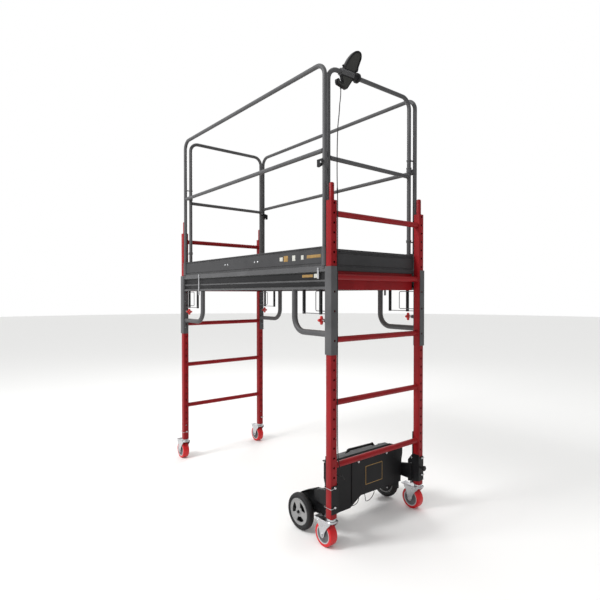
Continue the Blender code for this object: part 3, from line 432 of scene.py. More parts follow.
def finish_of(name, colour, rough, metallic=0.0, mottle=0.14, mottle_scale=7.0, grain_scale=700.0,
              grain=0.1, wear=None, wear_amount=0.8, edge=0.0012, dust=None, dust_amount=0.25,
              grain_stretch=(1, 1, 1), specular=0.5):
    """A painted, moulded or plated surface: mottled colour, fine grain, rubbed edges and dust."""
    mat, tree, shader, place = new_look(name)
    broad = noise(tree, place, mottle_scale, 5.0, 0.4)
    fine = noise(tree, stretched(tree, place, grain_stretch), grain_scale, 2.0)
    patchy = noise(tree, place, 55.0, 6.0, 0.8)
    base = blend_colour(tree, remap(tree, broad, 0.32, 0.68, 0.0, 1.0),
                        tint(colour, 1 - mottle), tint(colour, 1 + mottle))
    bevel = node(tree, "Bevel", "Normal", {"Radius": edge}, samples=4)
    normal = node(tree, "NewGeometry", "Normal")
    if dust:
        level = remap(tree, node(tree, "SeparateXYZ", "Z", {"Vector": normal}),
                      0.3, 1.0, 0.0, dust_amount)
        spots = remap(tree, patchy, 0.4, 0.65, 0.2, 1.0)
        base = blend_colour(tree, multiply(tree, level, spots), base, tint(dust))
    if wear:
        rim = remap(tree, align(tree, bevel, normal), 0.985, 0.86, 0.0, 1.0)
        chips = remap(tree, patchy, 0.52, 0.6, 0.0, wear_amount)
        base = blend_colour(tree, multiply(tree, rim, chips), base, tint(wear))
    feed(tree, shader, {
        "Base Color": base, "Roughness": remap(tree, broad, 0.3, 0.7, rough - 0.1, rough + 0.1),
        "Normal": bumped(tree, fine, grain, 0.0002, Normal=bevel),
        "Metallic": metallic, "Specular IOR Level": specular,
    })
    return mat


def plywood(name):
    """A varnished plywood board with its grain along X and darker plies on its edges."""
    mat, tree, shader, place = new_look(name)
    along = stretched(tree, place, (1.2, 16.0, 30.0))
    grain = noise(tree, along, 2.2, 8.0, 1.4)
    streak = noise(tree, along, 14.0, 4.0, 0.2)
    base = blend_colour(tree, remap(tree, grain, 0.3, 0.7, 0, 1),
                        tint((0.2, 0.105, 0.045)), tint((0.44, 0.27, 0.13)))
    base = blend_colour(tree, remap(tree, streak, 0.55, 0.75, 0, 0.6), base,
                        tint((0.11, 0.055, 0.025)))
    feed(tree, shader, {
        "Base Color": base, "Roughness": remap(tree, grain, 0.3, 0.7, 0.42, 0.62),
        "Normal": bumped(tree, streak, 0.25, 0.001),
    })
    return mat


RED = finish_of("red_paint", (0.245, 0.008, 0.011), 0.38, wear=(0.1, 0.015, 0.015),
                dust=(0.3, 0.045, 0.045), dust_amount=0.12, specular=0.16)
GREY = finish_of("grey_paint", (0.08, 0.08, 0.083), 0.44, wear=0.25, wear_amount=0.6,
                 dust=(0.22, 0.21, 0.2), specular=0.2)
BLACK = finish_of("black_paint", (0.008, 0.008, 0.009), 0.42, mottle=0.22, wear=(0.14, 0.14, 0.145),
                  wear_amount=0.6, dust=0.07, dust_amount=0.35, grain=0.16, specular=0.18)
PLASTIC = finish_of("black_plastic", (0.007, 0.007, 0.008), 0.4, mottle=0.15, wear=0.06,
                    grain=0.22, grain_scale=1300.0, edge=0.0015, specular=0.25)
RUBBER = finish_of("black_rubber", (0.013, 0.013, 0.014), 0.62, mottle=0.25,
                   wear=(0.055, 0.053, 0.05), grain=0.25, grain_scale=500.0,
                   dust=(0.1, 0.095, 0.09), dust_amount=0.2, specular=0.25)
TREAD = finish_of("red_tread", (0.56, 0.012, 0.016), 0.36, mottle=0.07, mottle_scale=20.0,
                  wear=(0.38, 0.03, 0.03), wear_amount=0.5, grain=0.05, specular=0.35)
KNOB_RED = finish_of("red_plastic", (0.55, 0.02, 0.018), 0.36, mottle=0.08, wear=(0.7, 0.1, 0.09),
                     wear_amount=0.4, grain=0.08)
ZINC = finish_of("zinc", (0.56, 0.565, 0.58), 0.3, 1.0, mottle=0.07, mottle_scale=30.0, wear=0.5,
                 wear_amount=0.4, grain=0.05, grain_stretch=(1, 1, 0.15))
HUB = finish_of("hub_grey", (0.46, 0.46, 0.47), 0.45, mottle=0.08, wear=0.3)
HUB_DARK = finish_of("hub_dark", (0.1, 0.1, 0.105), 0.5, mottle=0.2, wear=0.2)
RIM = finish_of("rim_grey", 0.24, 0.38, mottle=0.1, wear=0.5, grain=0.08)
PANEL = finish_of("panel_grey", (0.034, 0.034, 0.031), 0.5, mottle=0.12, wear=0.1, grain=0.15,
                  grain_scale=1200.0, specular=0.3)
BOARD_GREY = finish_of("board_grey", (0.042, 0.042, 0.044), 0.46, wear=0.22, wear_amount=0.6,
                       dust=(0.17, 0.165, 0.16), specular=0.18)
# Painted shade: a near-black grey, much darker than the grey paint, for the rail's recessed web. It
# stands for the shade under the rail's upper lip.
RAIL_RECESS_SHADE = finish_of("rail_recess_shade_grey", (0.014, 0.014, 0.015), 0.5, wear=0.2, wear_amount=0.5,
                      dust=(0.16, 0.155, 0.15), specular=0.15)
WIRE = finish_of("wire_steel", (0.16, 0.16, 0.17), 0.38, 0.6, mottle=0.15, wear=0.35)
LABEL_PALE = finish_of("label_pale", (0.46, 0.46, 0.42), 0.5, mottle=0.06, mottle_scale=60.0)
LABEL_AMBER = finish_of("label_amber", (0.26, 0.15, 0.035), 0.5, mottle=0.15, mottle_scale=60.0)
DECK = plywood("deck_board")


def finish_nodes():
    """Better finishes for the CAD nodes that stay in view."""
    finishes = {
        "deck_frame": RED, "deck_panel": DECK, "deck_latch": ZINC,
        "gate_hook": BLACK, "drive_chassis": BLACK, "drive_cover": BLACK, "battery": PLASTIC,
    }
    for name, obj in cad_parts.items():
        for start, mat in finishes.items():
            if name.startswith(start):
                obj.data.materials.clear()
                obj.data.materials.append(mat)


# ---- camera, light and floor ----

CAMERA_PLACE, CAMERA_YAW, CAMERA_PITCH = Vector((2.6921, -2.0276, 1.3259)), 0.6751, 0.0121
CAMERA_LENS, CAMERA_SENSOR = 28.48, 36.0
DIM_SIDE, DIM_FROM, DIM_TO, DIM_LEVEL = (0.93, 0.3, -0.21), 0.0, 0.75, 0.34


def lamp(name, place, target, size, power):
    """A round soft light that faces the target."""
    light = bpy.data.lights.new(name, "AREA")
    light.shape, light.size, light.energy = "DISK", size, power
    obj = placed(name, light)
    obj.location = place
    obj.rotation_euler = (Vector(target) - Vector(place)).to_track_quat("-Z", "Y").to_euler()


def studio():
    """The camera at the viewing angle, a pale floor and soft light from all round."""
    scene = bpy.context.scene
    data = bpy.data.cameras.new("camera")
    data.lens, data.sensor_width = CAMERA_LENS, CAMERA_SENSOR
    data.clip_start, data.clip_end = 0.05, 100.0
    camera = placed("camera", data)
    level = math.cos(CAMERA_PITCH)
    forward = Vector((-math.cos(CAMERA_YAW) * level, math.sin(CAMERA_YAW) * level,
                      -math.sin(CAMERA_PITCH)))
    camera.location = CAMERA_PLACE + SHIFT
    camera.rotation_euler = forward.to_track_quat("-Z", "Y").to_euler()
    scene.camera = camera
    lamp("key", (-0.6, -4.2, 4.4), (0, 0, 1.1), 1.6, 190)
    lamp("fill", (4.6, -0.6, 3.4), (0.6, 0, 1.0), 1.6, 5)
    lamp("back", (-3.5, 3.0, 3.8), (0, 0, 1.3), 2.0, 40)

    world = bpy.data.worlds.new("studio")
    world.use_nodes = True
    tree = world.node_tree
    toward = align(tree, node(tree, "TexCoord", "Generated"), DIM_SIDE)
    feed(tree, tree.nodes["Background"], {
        "Color": (1.0, 1.0, 1.0, 1.0),
        "Strength": remap(tree, toward, DIM_FROM, DIM_TO, 1.0, DIM_LEVEL),
    })
    scene.world = world
    scene.view_settings.view_transform = "Standard"

    bm = bmesh.new()
    bmesh.ops.create_circle(bm, cap_ends=True, segments=96, radius=30.0)
    floor = placed("floor", mesh_of(bm, "floor"))
    mat = bpy.data.materials.new("floor")
    mat.use_nodes = True
    tree = mat.node_tree
    feed(tree, tree.nodes["Principled BSDF"], {"Base Color": (0.9, 0.9, 0.89, 1.0), "Roughness": 0.9})
    floor.data.materials.append(mat)


# ---- cords ----

def cord(name, points, count, diameter, node_name, bodies):
    """A cable as a round tube along its route."""
    route = smooth_route(points, count)
    form = Form()
    form.tube(route, diameter / 2, 12)
    joined = len(bodies) == 4
    obj = form.finish(name, RUBBER, None if joined else bodies[0], [node_name])
    if joined:
        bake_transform(obj)


def cords():
    """The remote's cable in two lengths joined by a splice, and the two motor leads."""
    front = POST_X + POST_SIDE / 2 + CABLE_D / 2 + 0.001
    meet = Vector((front, -0.343, 1.86))
    run = Vector((0.0, 0.006, -0.2)).normalized()
    hang = (GATE_X + 0.0025, -0.2463)
    upper = [
        (*hang, 2.434 - FIT * 1.8), (*hang, 2.415), (0.8215, -0.2495, 2.396),
        (0.835, -0.2655, 2.362), (0.861, -0.2935, 2.328), (0.883, -0.316, 2.294),
        (0.895, -0.331, 2.25), (front, -0.34, 2.19), (front, -0.344, 2.1),
        (front, -0.3455, 2.0), meet - run * 0.06, meet - run * 0.03, meet - run * FIT * 0.6,
    ]
    splice = Form()
    splice.lathe(((0, -0.016), (0.0027, -0.016), (0.0036, -0.011), (0.0036, 0.011),
                  (0.0027, 0.016), (0, 0.016)), meet, run, 20)
    splice = splice.finish("cable_splice", RUBBER, "platform")
    cord("remote_cable_above", upper, 72, CABLE_D, "remote_cable_upper",
         ("gate_near", "platform", (0.848, -0.29, 2.33), (0.9226, -0.342, 2.12)))
    gland = (-0.25, 0.335)
    lower = [
        meet + run * FIT * 0.6, meet + run * 0.03, meet + run * 0.06,
        *((front, -0.341, z) for z in (1.72, 1.5, 1.25, 1.0, 0.75)), (front, -0.34, 0.56),
        (front + 0.001, -0.334, 0.46), (front + 0.001, -0.316, 0.395), (0.888, -0.288, 0.354),
        (0.87, -0.26, 0.338), (0.852, *gland), (0.825, *gland), (COVER_X + 0.02 + FIT * 1.4, *gland),
    ]
    cord("remote_cable_below", lower, 120, CABLE_D, "remote_cable_lower",
         ("platform", "frame", (0.9226, -0.341, 1.8), (0.9226, -0.341, 0.5)))
    slack = {
        -1: [(0.76, -0.054, 0.118), (0.748, -0.072, 0.101), (0.72, -0.088, 0.094),
             (0.682, -0.1, 0.093), (0.645, -0.116, 0.097), (0.62, -0.138, 0.101),
             (DRIVE_X, -0.16, DRIVE_R)],
        1: [(0.76, 0.068, 0.116), (0.75, 0.05, 0.098), (0.728, 0.05, 0.088),
            (0.695, 0.08, 0.089), (0.65, 0.12, 0.096), (0.622, 0.145, 0.101),
            (DRIVE_X, 0.162, DRIVE_R)],
    }
    for side, y in ((-1, -0.045), (1, 0.085)):
        lead = [(0.762, y, z) for z in (TRAY_Z - 0.005 - FIT * 1.4, 0.15, 0.14)] + slack[side]
        lead += [(DRIVE_X, side * end, DRIVE_R) for end in (0.175, 0.19 - FIT * 1.4)]
        cord(f"motor_cable_{SIDES[side]}", lead, 60, LEAD_D, f"motor_lead_{SIDES[side]}",
             ("frame",))


# ---- end frames ----

def hollow_post(x, y):
    """A square tube with a round hole through its two end faces at every pitch."""
    form, sides = Form(), 16
    bm, half, wall, corner = form.bm, POST_SIDE / 2, 0.003, 0.004
    holes = [HOLE_FIRST_Z + k * HOLE_PITCH for k in range(HOLE_COUNT)]
    bounds = [HOLE_FIRST_Z - HOLE_PITCH / 2] + [z + HOLE_PITCH / 2 for z in holes[:-1]] + [POST_TOP]
    cells = list(zip(holes, bounds, bounds[1:]))
    levels = [POST_BOTTOM]
    for z, low, high in cells:
        levels += [low, (low + z) / 2, z, (z + high) / 2]
    levels.append(POST_TOP)
    circle = ring_points(0, 0, HOLE_R, sides)
    square = (1, 1, 1, 0.5, 0, -0.5, -1, -1, -1, -1, -1, -0.5, 0, 0.5, 1, 1)

    def grid(columns, rows):
        made = [[bm.verts.new((px, py, z)) for z in rows] for px, py in columns]
        for a, b in zip(made, made[1:]):
            for k in range(len(rows) - 1):
                bm.faces.new((a[k], b[k], b[k + 1], a[k + 1]))

    def loop(px, z, points):
        return [bm.verts.new((px, y + a, z + b)) for a, b in points]

    def band(one, two):
        for i in range(sides):
            j = (i + 1) % sides
            bm.faces.new((one[i], one[j], two[j], two[i]))

    for face in (-1, 1):
        for size, flat in ((half, half - corner), (half - wall, half - wall)):
            px = x + face * size
            grid([(px, y + flat * t) for t in (-1, -0.5, 0, 0.5, 1)], levels[:2])
            for z, low, high in cells:
                rim = []
                for i, across in enumerate(square):
                    rise = square[i - 4]
                    rim.append((across * flat, rise * (high - z if rise > 0 else z - low)))
                band(loop(px, z, rim), loop(px, z, circle))
        for z in holes:
            band(*[loop(x + face * size, z, circle) for size in (half, half - wall)])
    flat, inner = half - corner, half - wall
    for side in (-1, 1):
        columns = []
        for face, turns in ((1, (0, 1, 2)), (-1, (2, 1, 0))):
            for angle in (t * TAU / 8 for t in turns):
                columns.append((x + face * (flat + corner * math.cos(angle)),
                                y + side * (flat + corner * math.sin(angle))))
        grid(columns, levels)
        grid([(x + inner, y + side * inner), (x - inner, y + side * inner)], levels)
    bmesh.ops.remove_doubles(bm, verts=bm.verts, dist=1e-5)
    for z in (POST_BOTTOM, POST_TOP):
        rim = [e for e in bm.edges
               if len(e.link_faces) == 1 and all(abs(v.co.z - z) < 1e-5 for v in e.verts)]
        bmesh.ops.bridge_loops(bm, edges=rim)
    return form


def end_frame(end):
    """One ladder: two hollow posts, welded rungs, and capped tops with their stacking pins."""
    name, x, inner, cap = ENDS[end], end * POST_X, POST_Y - POST_SIDE / 2, 0.0178
    for side in SIDES:
        hollow_post(x, side * POST_Y).finish(f"post_{name}_{SIDES[side]}", RED, "frame")
    form = Form()
    for k in range(RUNG_COUNT):
        z = RUNG_TOP_Z - k * RUNG_PITCH
        form.rod(RUNG_R, -inner + 0.0002, inner - 0.0002, (x, 0, z), "Y", 32, 0.0002)
        for side in SIDES:
            form.bead((x, side * (inner - 0.0012), z), "Y", RUNG_R + 0.0005, 0.0024)
    form.finish(f"rungs_{name}", RED, "frame", [f"end_frame_{name}"])
    pins, cuts = Form(), Form()
    for y in (-POST_Y, POST_Y):
        pins.lathe(((0, POST_TOP - 0.045), (PIN_R, POST_TOP - 0.045), (PIN_R, PIN_TOP - 0.007),
                    (PIN_R - 0.002, PIN_TOP - 0.002), (PIN_R - 0.005, PIN_TOP), (0, PIN_TOP)),
                   (x, y, 0), "Z", 28)
        cuts.rod(0.0045, -0.03, 0.03, (x, y, PIN_TOP - 0.02), "X", 16)
    pins.carve(cuts)
    for y in (-POST_Y, POST_Y):
        pins.block((x - cap, y - cap, POST_TOP - 0.006), (x + cap, y + cap, POST_TOP - 0.001), 0.0006)
        pins.bead((x, y, POST_TOP - 0.0005), "Z", PIN_R + 0.0008, 0.0018)
    pins.finish(f"stacking_pins_{name}", RED, "frame")


# ---- casters ----

def snap_pin(name, x, y, z, side, nodes=()):
    """A locking pin through the post with its head on +X and its wire loop round the outside."""
    form, front = Form(), POST_SIDE / 2 + 0.006
    form.rod(0.003, -front - 0.006, front, (x, y, z), "X", 14)
    form.lathe(((0, front - 0.001), (0.0058, front - 0.001), (0.0062, front + 0.002),
                (0.005, front + 0.006), (0, front + 0.007)), (x, y, z), "X", 20)
    loop = [
        (x + front + 0.004, y + side * 0.002, z), (x + front + 0.004, y + side * 0.028, z - 0.004),
        (x - front, y + side * 0.028, z - 0.004), (x - front - 0.004, y + side * 0.01, z),
    ]
    form.tube(rounded(loop, 0.009, 5), 0.0013, 10)
    form.finish(name, ZINC, "frame", nodes)


def caster(end, side):
    """A swivel caster: stem, pressed fork with its raceway, tread and hub, and a ribbed pedal."""
    tag = f"{ENDS[end]}_{SIDES[side]}"
    x, y, roll = end * POST_X, side * POST_Y, f"wheel_{tag}"
    axle_x, axle_z = x - TRAIL, WHEEL_R
    axle = (axle_x, y, axle_z)
    stem = Form()
    stem.lathe(((0, 0.131), (0.0075, 0.131), (0.0105, 0.1318), (0.011, 0.1345), (0.0075, 0.1345),
                (0.0075, 0.1475), (0.0225, 0.1475), (0.024, 0.149), (0.024, 0.155),
                (0.0225, 0.1585), (0.014, 0.1585), (0.014, 0.28), (0.012, 0.285), (0, 0.285)),
               (x, y, 0), "Z", 36)
    stem.finish(f"stem_{tag}", ZINC, "frame", [f"caster_stem_{tag}"])

    fork = Form()
    edge = [(-0.06, 0.0315), (-0.02, 0.0315), (0.01, 0.0312), (0.024, 0.022)]
    crown = moved(edge, x, y, 1, -1) + [(x + 0.028, y)] + moved(edge[::-1], x, y) + [(x - 0.06, y)]
    fork.plate(smooth_outline(crown, 48), "Z", CROWN_LOW + 0.002, CROWN_LOW + 0.0065, 0.0008)
    fork.collar(0.0285, 0.0084, CROWN_LOW + 0.004, CROWN_TOP, (x, y, 0), "Z", 40, 0.003)
    cheek = smooth_outline([
        *moved(((-0.08, CROWN_TOP - 0.001), (-0.045, CROWN_TOP - 0.0005),
                (-0.005, CROWN_TOP - 0.0005), (0.019, CROWN_TOP - 0.002), (0.018, 0.131),
                (-0.002, 0.11), (-0.018, 0.084)), x),
        *moved(((0.016, 0.004), (0.012, -0.01), (0, -0.0155), (-0.012, -0.01), (-0.016, 0.004)),
               axle_x, axle_z),
        *moved(((-0.062, 0.086), (-0.067, 0.108), (-0.081, 0.124)), x)], 72)
    for a in (-1, 1):
        fork.plate(cheek, "Y", y + a * 0.0287, y + a * 0.0318, 0.0007)
        fork.lathe(((0, 0), (0.0145, 0), (0.0135, 0.0012), (0, 0.0012)),
                   (axle_x, y + a * 0.0316, axle_z), (0, a, 0), 28)
        fork.bolt((axle_x, y + a * 0.0322, axle_z), (0, a, 0), 0.0088, 0.0055)
    fork.rod(0.0058, -0.034, 0.034, axle, "Y", 16)
    fork.finish(f"fork_{tag}", ZINC, f"caster_{tag}", [f"caster_fork_{tag}"])

    def turned(profile, middle, sides):
        """A wheel part from half a profile of (radius, depth from the wheel's face)."""
        part = Form()
        half = moved(profile, 0, -WHEEL_HALF)
        part.lathe(mirrored(half) + middle, axle, "Y", sides)
        return part

    tread = turned(((0.0478, 0.001), (0.0575, 0), (0.062, 0.0025), (WHEEL_R, 0.007)),
                   [(0.047, 0)], 64)
    tread.finish(f"tread_{tag}", TREAD, roll, [f"caster_wheel_{tag}"])
    ring = turned(((0.0476, 0.001), (0.045, 0.0005), (0.0425, 0.0025)), [], 56)
    ring.finish(f"hub_ring_{tag}", HUB, roll, slot="red_tread")
    hub = turned(((0.043, 0.004), (0.038, 0.006), (0.024, 0.007), (0.02, 0.0052),
                  (0.0068, 0.0052)), [], 48)
    for a in (-1, 1):
        for px, pz in ring_points(axle_x, axle_z, 0.031, 8):
            hub.lathe(((0, 0), (0.003, 0), (0.0022, 0.003), (0, 0.003)), (px, y + a * 0.0175, pz),
                      (0, a, 0), 12)
    hub.finish(f"hub_{tag}", HUB_DARK, roll, slot="red_tread")

    pedal, px, pz = Form(), x - 0.073, 0.131
    pedal.plate(moved(((0.005, -0.003), (0.005, 0.003), (-0.012, 0.004), (-0.038, 0.009),
                       (-0.038, 0.005), (-0.012, -0.001)), px, pz), "Y", y - 0.0235, y + 0.0235, 0.0008)
    for k in range(5):
        rib_x, rib_z = px - 0.034 + k * 0.0048, pz + 0.0082 - k * 0.0009
        pedal.block((rib_x - 0.0008, y - 0.019, rib_z - 0.0008),
                    (rib_x + 0.0008, y + 0.019, rib_z + 0.0006), 0.0003)
    pedal.rod(0.0028, -0.0345, 0.0345, (px, y, pz), "Y", 14)
    pedal.finish(f"pedal_{tag}", ZINC, f"brake_{tag}", [f"brake_pedal_{tag}"])

    snap_pin(f"pin_{tag}", x, y, HOLE_FIRST_Z, side, [f"snap_pin_{tag}"])
    if end > 0:
        snap_pin(f"upper_pin_{tag}", x, y, HOLE_FIRST_Z + 2 * HOLE_PITCH, side)


# ---- platform ----

def side_bracket(side):
    """A platform side: two folded sleeves, the rolled rail, bent braces and sockets, all welded."""
    name, y0, face = SIDES[side], side * POST_Y, RAIL_FACE_Y
    near = POST_SIDE / 2 + SLEEVE_GAP
    far = near + SLEEVE_WALL
    reach, sleeve_x = POST_X - near - 0.0015, POST_X - far
    rail, cuts = Form(), Form()
    profile = [
        (0, RAIL_TOP), (-0.03, RAIL_TOP), (-0.03, 1.44), (-0.016, 1.44), (-0.016, 1.366),
        (-0.045, 1.366), (-0.045, RAIL_BOTTOM), (0, RAIL_BOTTOM), (0, 1.362), (-0.0125, 1.366),
        (-0.0125, 1.391), (-0.007, 1.394), (-0.007, 1.4), (-0.0125, 1.403), (-0.0125, 1.442),
        (0, 1.446),
    ]
    rail.plate(moved(profile, side * face, 0, side), "X", -reach, reach)
    for end in (-1, 1):
        cuts.rod(TUBE_R + 0.0011, GUARD_FOOT - 0.001, 1.477, (end * LEG_X, side * LEG_Y, 0), "Z", 28)
        latch_x = LATCH_FAR_X if end == side else LATCH_NEAR_X
        cuts.rod(0.0046, side * (face - 0.012), side * (face + 0.01), (end * latch_x, 0, LATCH_Z),
                 "Y", 16)
    rail.carve(cuts)
    rail.finish(f"platform_rail_{name}", GREY, "platform")
    # Painted shade: thin near-black sheets over the back wall of the rail's recess, darkening it where
    # the upper lip shades it.
    web = Form()
    for low, high in ((1.3675, 1.3905), (1.4035, 1.4415)):
        web.block((-reach + 0.001, side * (face - 0.013), low),
                  (reach - 0.001, side * (face - 0.0118), high), 0.0003)
    web.finish(f"rail_web_painted_shade_{name}", RAIL_RECESS_SHADE, "platform", slot="grey_paint")

    form, hangers, wires = Form(), Form(), Form()
    for end in (-1, 1):
        sleeve, cuts = Form(), Form()
        x0, opening, bend = end * POST_X, -0.016, 0.005
        outline = [(-far, opening)]
        for x1, first in ((-far + bend, TAU / 2), (far - bend, TAU / 4)):
            for angle in (first - k * TAU / 12 for k in range(4)):
                outline.append((x1 + bend * math.cos(angle), far - bend + bend * math.sin(angle)))
        outline += [(far, opening), (near, opening), (near, near), (-near, near), (-near, opening)]
        sleeve.plate(moved(outline, x0, y0, 1, side), "Z", SLEEVE_BOTTOM, SLEEVE_TOP)
        for k in (17, 20, 22):
            cuts.rod(HOLE_R, -0.04, 0.04, (x0, y0, HOLE_FIRST_Z + k * HOLE_PITCH), "X", 20)
        cuts.rod(HOLE_R, 0, -end * 0.04, (x0, y0, LOCK_PIN_Z), "X", 20)
        sleeve.carve(cuts)
        form.take(sleeve)
        flange_x = end * (POST_X - near - SLEEVE_WALL / 2)
        brace = [(end * BRACE_X, y0, RAIL_BOTTOM + 0.006), (end * BRACE_X, y0, BRACE_Z),
                 (flange_x, y0, BRACE_Z)]
        form.tube(rounded(brace, BRACE_BEND, 12), BRACE_R, 28)
        form.bead((end * BRACE_X, y0, RAIL_BOTTOM - 0.001), "Z", BRACE_R + 0.0003, 0.0024)
        form.bead((end * (sleeve_x - 0.001), y0, BRACE_Z), "X", BRACE_R - 0.001, 0.0024)
        for z in (RAIL_BOTTOM + 0.007, 1.4, 1.44):
            corner = (end * (sleeve_x - 0.0005), side * (face - 0.0015))
            form.seam((*corner, z), (*corner, z + 0.026), 0.0022)
        for x1 in (end * x for x in HANGER_X):
            hangers.block((x1 - 0.008, y0 - 0.006, 1.218),
                          (x1 + 0.008, y0 + 0.006, RAIL_BOTTOM + 0.003), 0.002)
            wires.bolt((x1, y0 + side * 0.006, 1.228), (0, side, 0), 0.004, 0.0035)
        wires.tube([(end * HANGER_X[0], y0, 1.2225), (flange_x, y0, 1.2225)], WIRE_R, 12)
        bail_x, bail_y, high, low = end * 0.733, y0 - side * 0.012, 1.343, 1.236
        bail = [(flange_x, bail_y, high), (bail_x, bail_y, high), (bail_x, bail_y, low),
                (flange_x, bail_y, low)]
        wires.tube(rounded(bail, 0.008, 5), WIRE_R, 12)
        socket = (end * LEG_X, side * LEG_Y)
        form.collar(0.0165, TUBE_R + 0.0011, 1.4765, 1.575, (*socket, 0), "Z", 32)
        form.bead((*socket, 1.4775), "Z", 0.0168, 0.0022)
        form.collar(0.011, 0.0057, end * 0.822, end * (POST_X - near - 0.001), (0, y0, LOCK_PIN_Z),
                    "X", 28)
        form.bead((end * (sleeve_x - 0.0008), y0, LOCK_PIN_Z), "X", 0.0115, 0.0018)
        for z in (1.268, 1.062):
            wires.bolt((end * sleeve_x, y0 + side * 0.01, z), (-end, 0, 0), 0.0045, 0.004)
    form.finish(f"platform_side_{name}", GREY, "platform", [f"side_bracket_{name}"])
    hangers.finish(f"hangers_{name}", BLACK, "platform")
    wires.finish(f"bracket_wires_{name}", WIRE, "platform", slot="zinc")


def lock_pin(end, side):
    """A four-lobed red hand knob on a plated pin."""
    tag, y, z = f"{ENDS[end]}_{SIDES[side]}", side * POST_Y, LOCK_PIN_Z
    knob, pin = Form(), Form()
    knob.plate(ring_points(y, z, 0.0185, 64, 0.0055, 4), "X", end * 0.7865, end * 0.7995, 0.0022)
    knob.rod(0.0085, end * 0.797, end * 0.8035, (0, y, z), "X", 24)
    knob.finish(f"knob_{tag}", KNOB_RED, f"lock_pin_{tag}", [f"lock_pin_knob_{tag}"])
    pin.rod(0.0048, end * 0.801, end * (POST_X - POST_SIDE / 2 - 0.0013), (0, y, z), "X", 20)
    pin.rod(0.004, end * 0.7858, end * 0.79, (0, y, z), "X", 20)
    pin.finish(f"lock_rod_{tag}", ZINC, f"lock_pin_{tag}")


def arch(form, one, two, foot, top):
    """A bent tube that stands on two flat places."""
    loop = [(*one, foot), (*one, top), (*two, top), (*two, foot)]
    form.tube(rounded(loop, CORNER_BEND, 12), TUBE_R, 24)


def guardrail(side):
    """A long bent guardrail with its welded mid rail, hinge rings and keeper stud."""
    y, name, form = side * LEG_Y, SIDES[side], Form()
    arch(form, (-LEG_X, y), (LEG_X, y), GUARD_FOOT, GUARD_TOP)
    form.tube([(-LEG_X + 0.01, y, GUARD_MID), (LEG_X - 0.01, y, GUARD_MID)], TUBE_R - 0.0003, 24)
    for end in (-1, 1):
        form.bead((end * (LEG_X - TUBE_R - 0.0006), y, GUARD_MID), "X", TUBE_R - 0.0008, 0.0021)
    leg = Vector((side * LEG_X, y, 0))
    pivot = Vector((side * GATE_X, side * GATE_Y, 0))
    across = (pivot - leg).normalized()
    beside = Vector((-across.y, across.x, 0))
    for z, height in HINGE_RINGS:
        low, high = z - height / 2, z + height / 2
        form.collar(0.0156, TUBE_R + 0.001, low, high, pivot, "Z", 32)
        link = []
        for along, offset in ((0.01, -0.006), (0.0235, -0.006), (0.0235, 0.006), (0.01, 0.006)):
            corner = leg + across * along + beside * offset
            link.append((corner.x, corner.y))
        form.plate(link, "Z", low + 0.0007, high - 0.0007, 0.0005)
    form.finish(f"guard_{name}", GREY, "platform", [f"guardrail_{name}"])
    stud, keeper = Form(), (-side * LEG_X, 0, KEEPER_Z)
    stud.rod(0.0035, side * (LEG_Y + 0.0115), side * 0.4008, keeper, "Y", 16)
    stud.rod(0.0048, side * 0.399, side * 0.4025, keeper, "Y", 20)
    stud.finish(f"keeper_{name}", ZINC, "platform")


def gate(end):
    """An end gate with its hinge collars; its drop hook gets a rivet."""
    name, x = ENDS[end], end * GATE_X
    hinge_y, free_y = end * GATE_Y, -end * GATE_Y
    form, rivet = Form(), Form()
    arch(form, (x, hinge_y), (x, free_y), GATE_FOOT, GATE_TOP)
    form.tube([(x, hinge_y * 0.97, GATE_MID), (x, free_y * 0.97, GATE_MID)], TUBE_R - 0.0003, 24)
    for y in (-1, 1):
        form.bead((x, y * (GATE_Y - TUBE_R - 0.0006), GATE_MID), "Y", TUBE_R - 0.0008, 0.0021)
    for z, height in HINGE_RINGS[1:]:
        low = z + height / 2 + 0.0012
        form.rod(0.0163, low, low + 0.0075, (x, hinge_y, 0), "Z", 28)
    form.finish(f"gate_frame_{name}", GREY, f"gate_{name}", [f"gate_{name}"])
    rivet.lathe(((0, 0), (0.0052, 0), (0.0045, 0.0016), (0.002, 0.0024), (0, 0.0026)),
                (end * (GATE_X - 0.019), free_y, HOOK_PIVOT_Z), (-end, 0, 0), 20)
    rivet.finish(f"hook_rivet_{name}", ZINC, f"hook_{name}")


def toe_boards():
    """The four kick boards: a broad recessed face between rolled lips, with welded end caps."""
    def board(outer, low, top, foot, head, lip, wall, sign, axis, reach):
        """foot and head are the face's bends, lip and wall the depths behind it."""
        profile = moved([(0, 0), *foot], outer, low)
        profile += moved([*head, (0, 0), (-lip, 0), (-lip, -0.01), (-wall, -0.012)], outer, top)
        profile += moved([(-wall, 0.01), (-lip, 0.008), (-lip, 0)], outer, low)
        form = Form()
        form.plate(moved(profile, 0, 0, sign), axis, -reach, reach)
        return form

    def finish(form, name):
        form.finish(f"kick_board_{name}", BOARD_GREY, "platform", [f"toe_board_{name}"],
                    slot="grey_paint")

    for side, name in SIDES.items():
        outer, low, top = RAIL_FACE_Y, RAIL_TOP + FIT, TOE_TOP
        form = board(outer, low, top, ((0, 0.006), (-0.006, 0.01), (-0.006, 0.014), (-0.003, 0.017)),
                     ((-0.003, -0.016), (-0.006, -0.013), (-0.006, -0.009), (0, -0.005)),
                     0.014, 0.009, side, "X", 0.814)
        for x in (-0.8125, 0.8125):
            form.block((x - 0.0012, side * (outer - 0.0135), low + 0.001),
                       (x + 0.0012, side * (outer - 0.0015), top - 0.001), 0.0005)
        finish(form, name)
    for end in (-1, 1):
        form = board(0.85, 1.4512, END_TOE_TOP,
                     ((0, 0.02), (-0.007, 0.024), (-0.007, 0.03), (-0.003, 0.034)),
                     ((-0.003, -0.026), (-0.008, -0.022), (-0.008, -0.015), (0, -0.011)),
                     0.017, 0.011, end, "Y", 0.338)
        finish(form, ENDS[end])


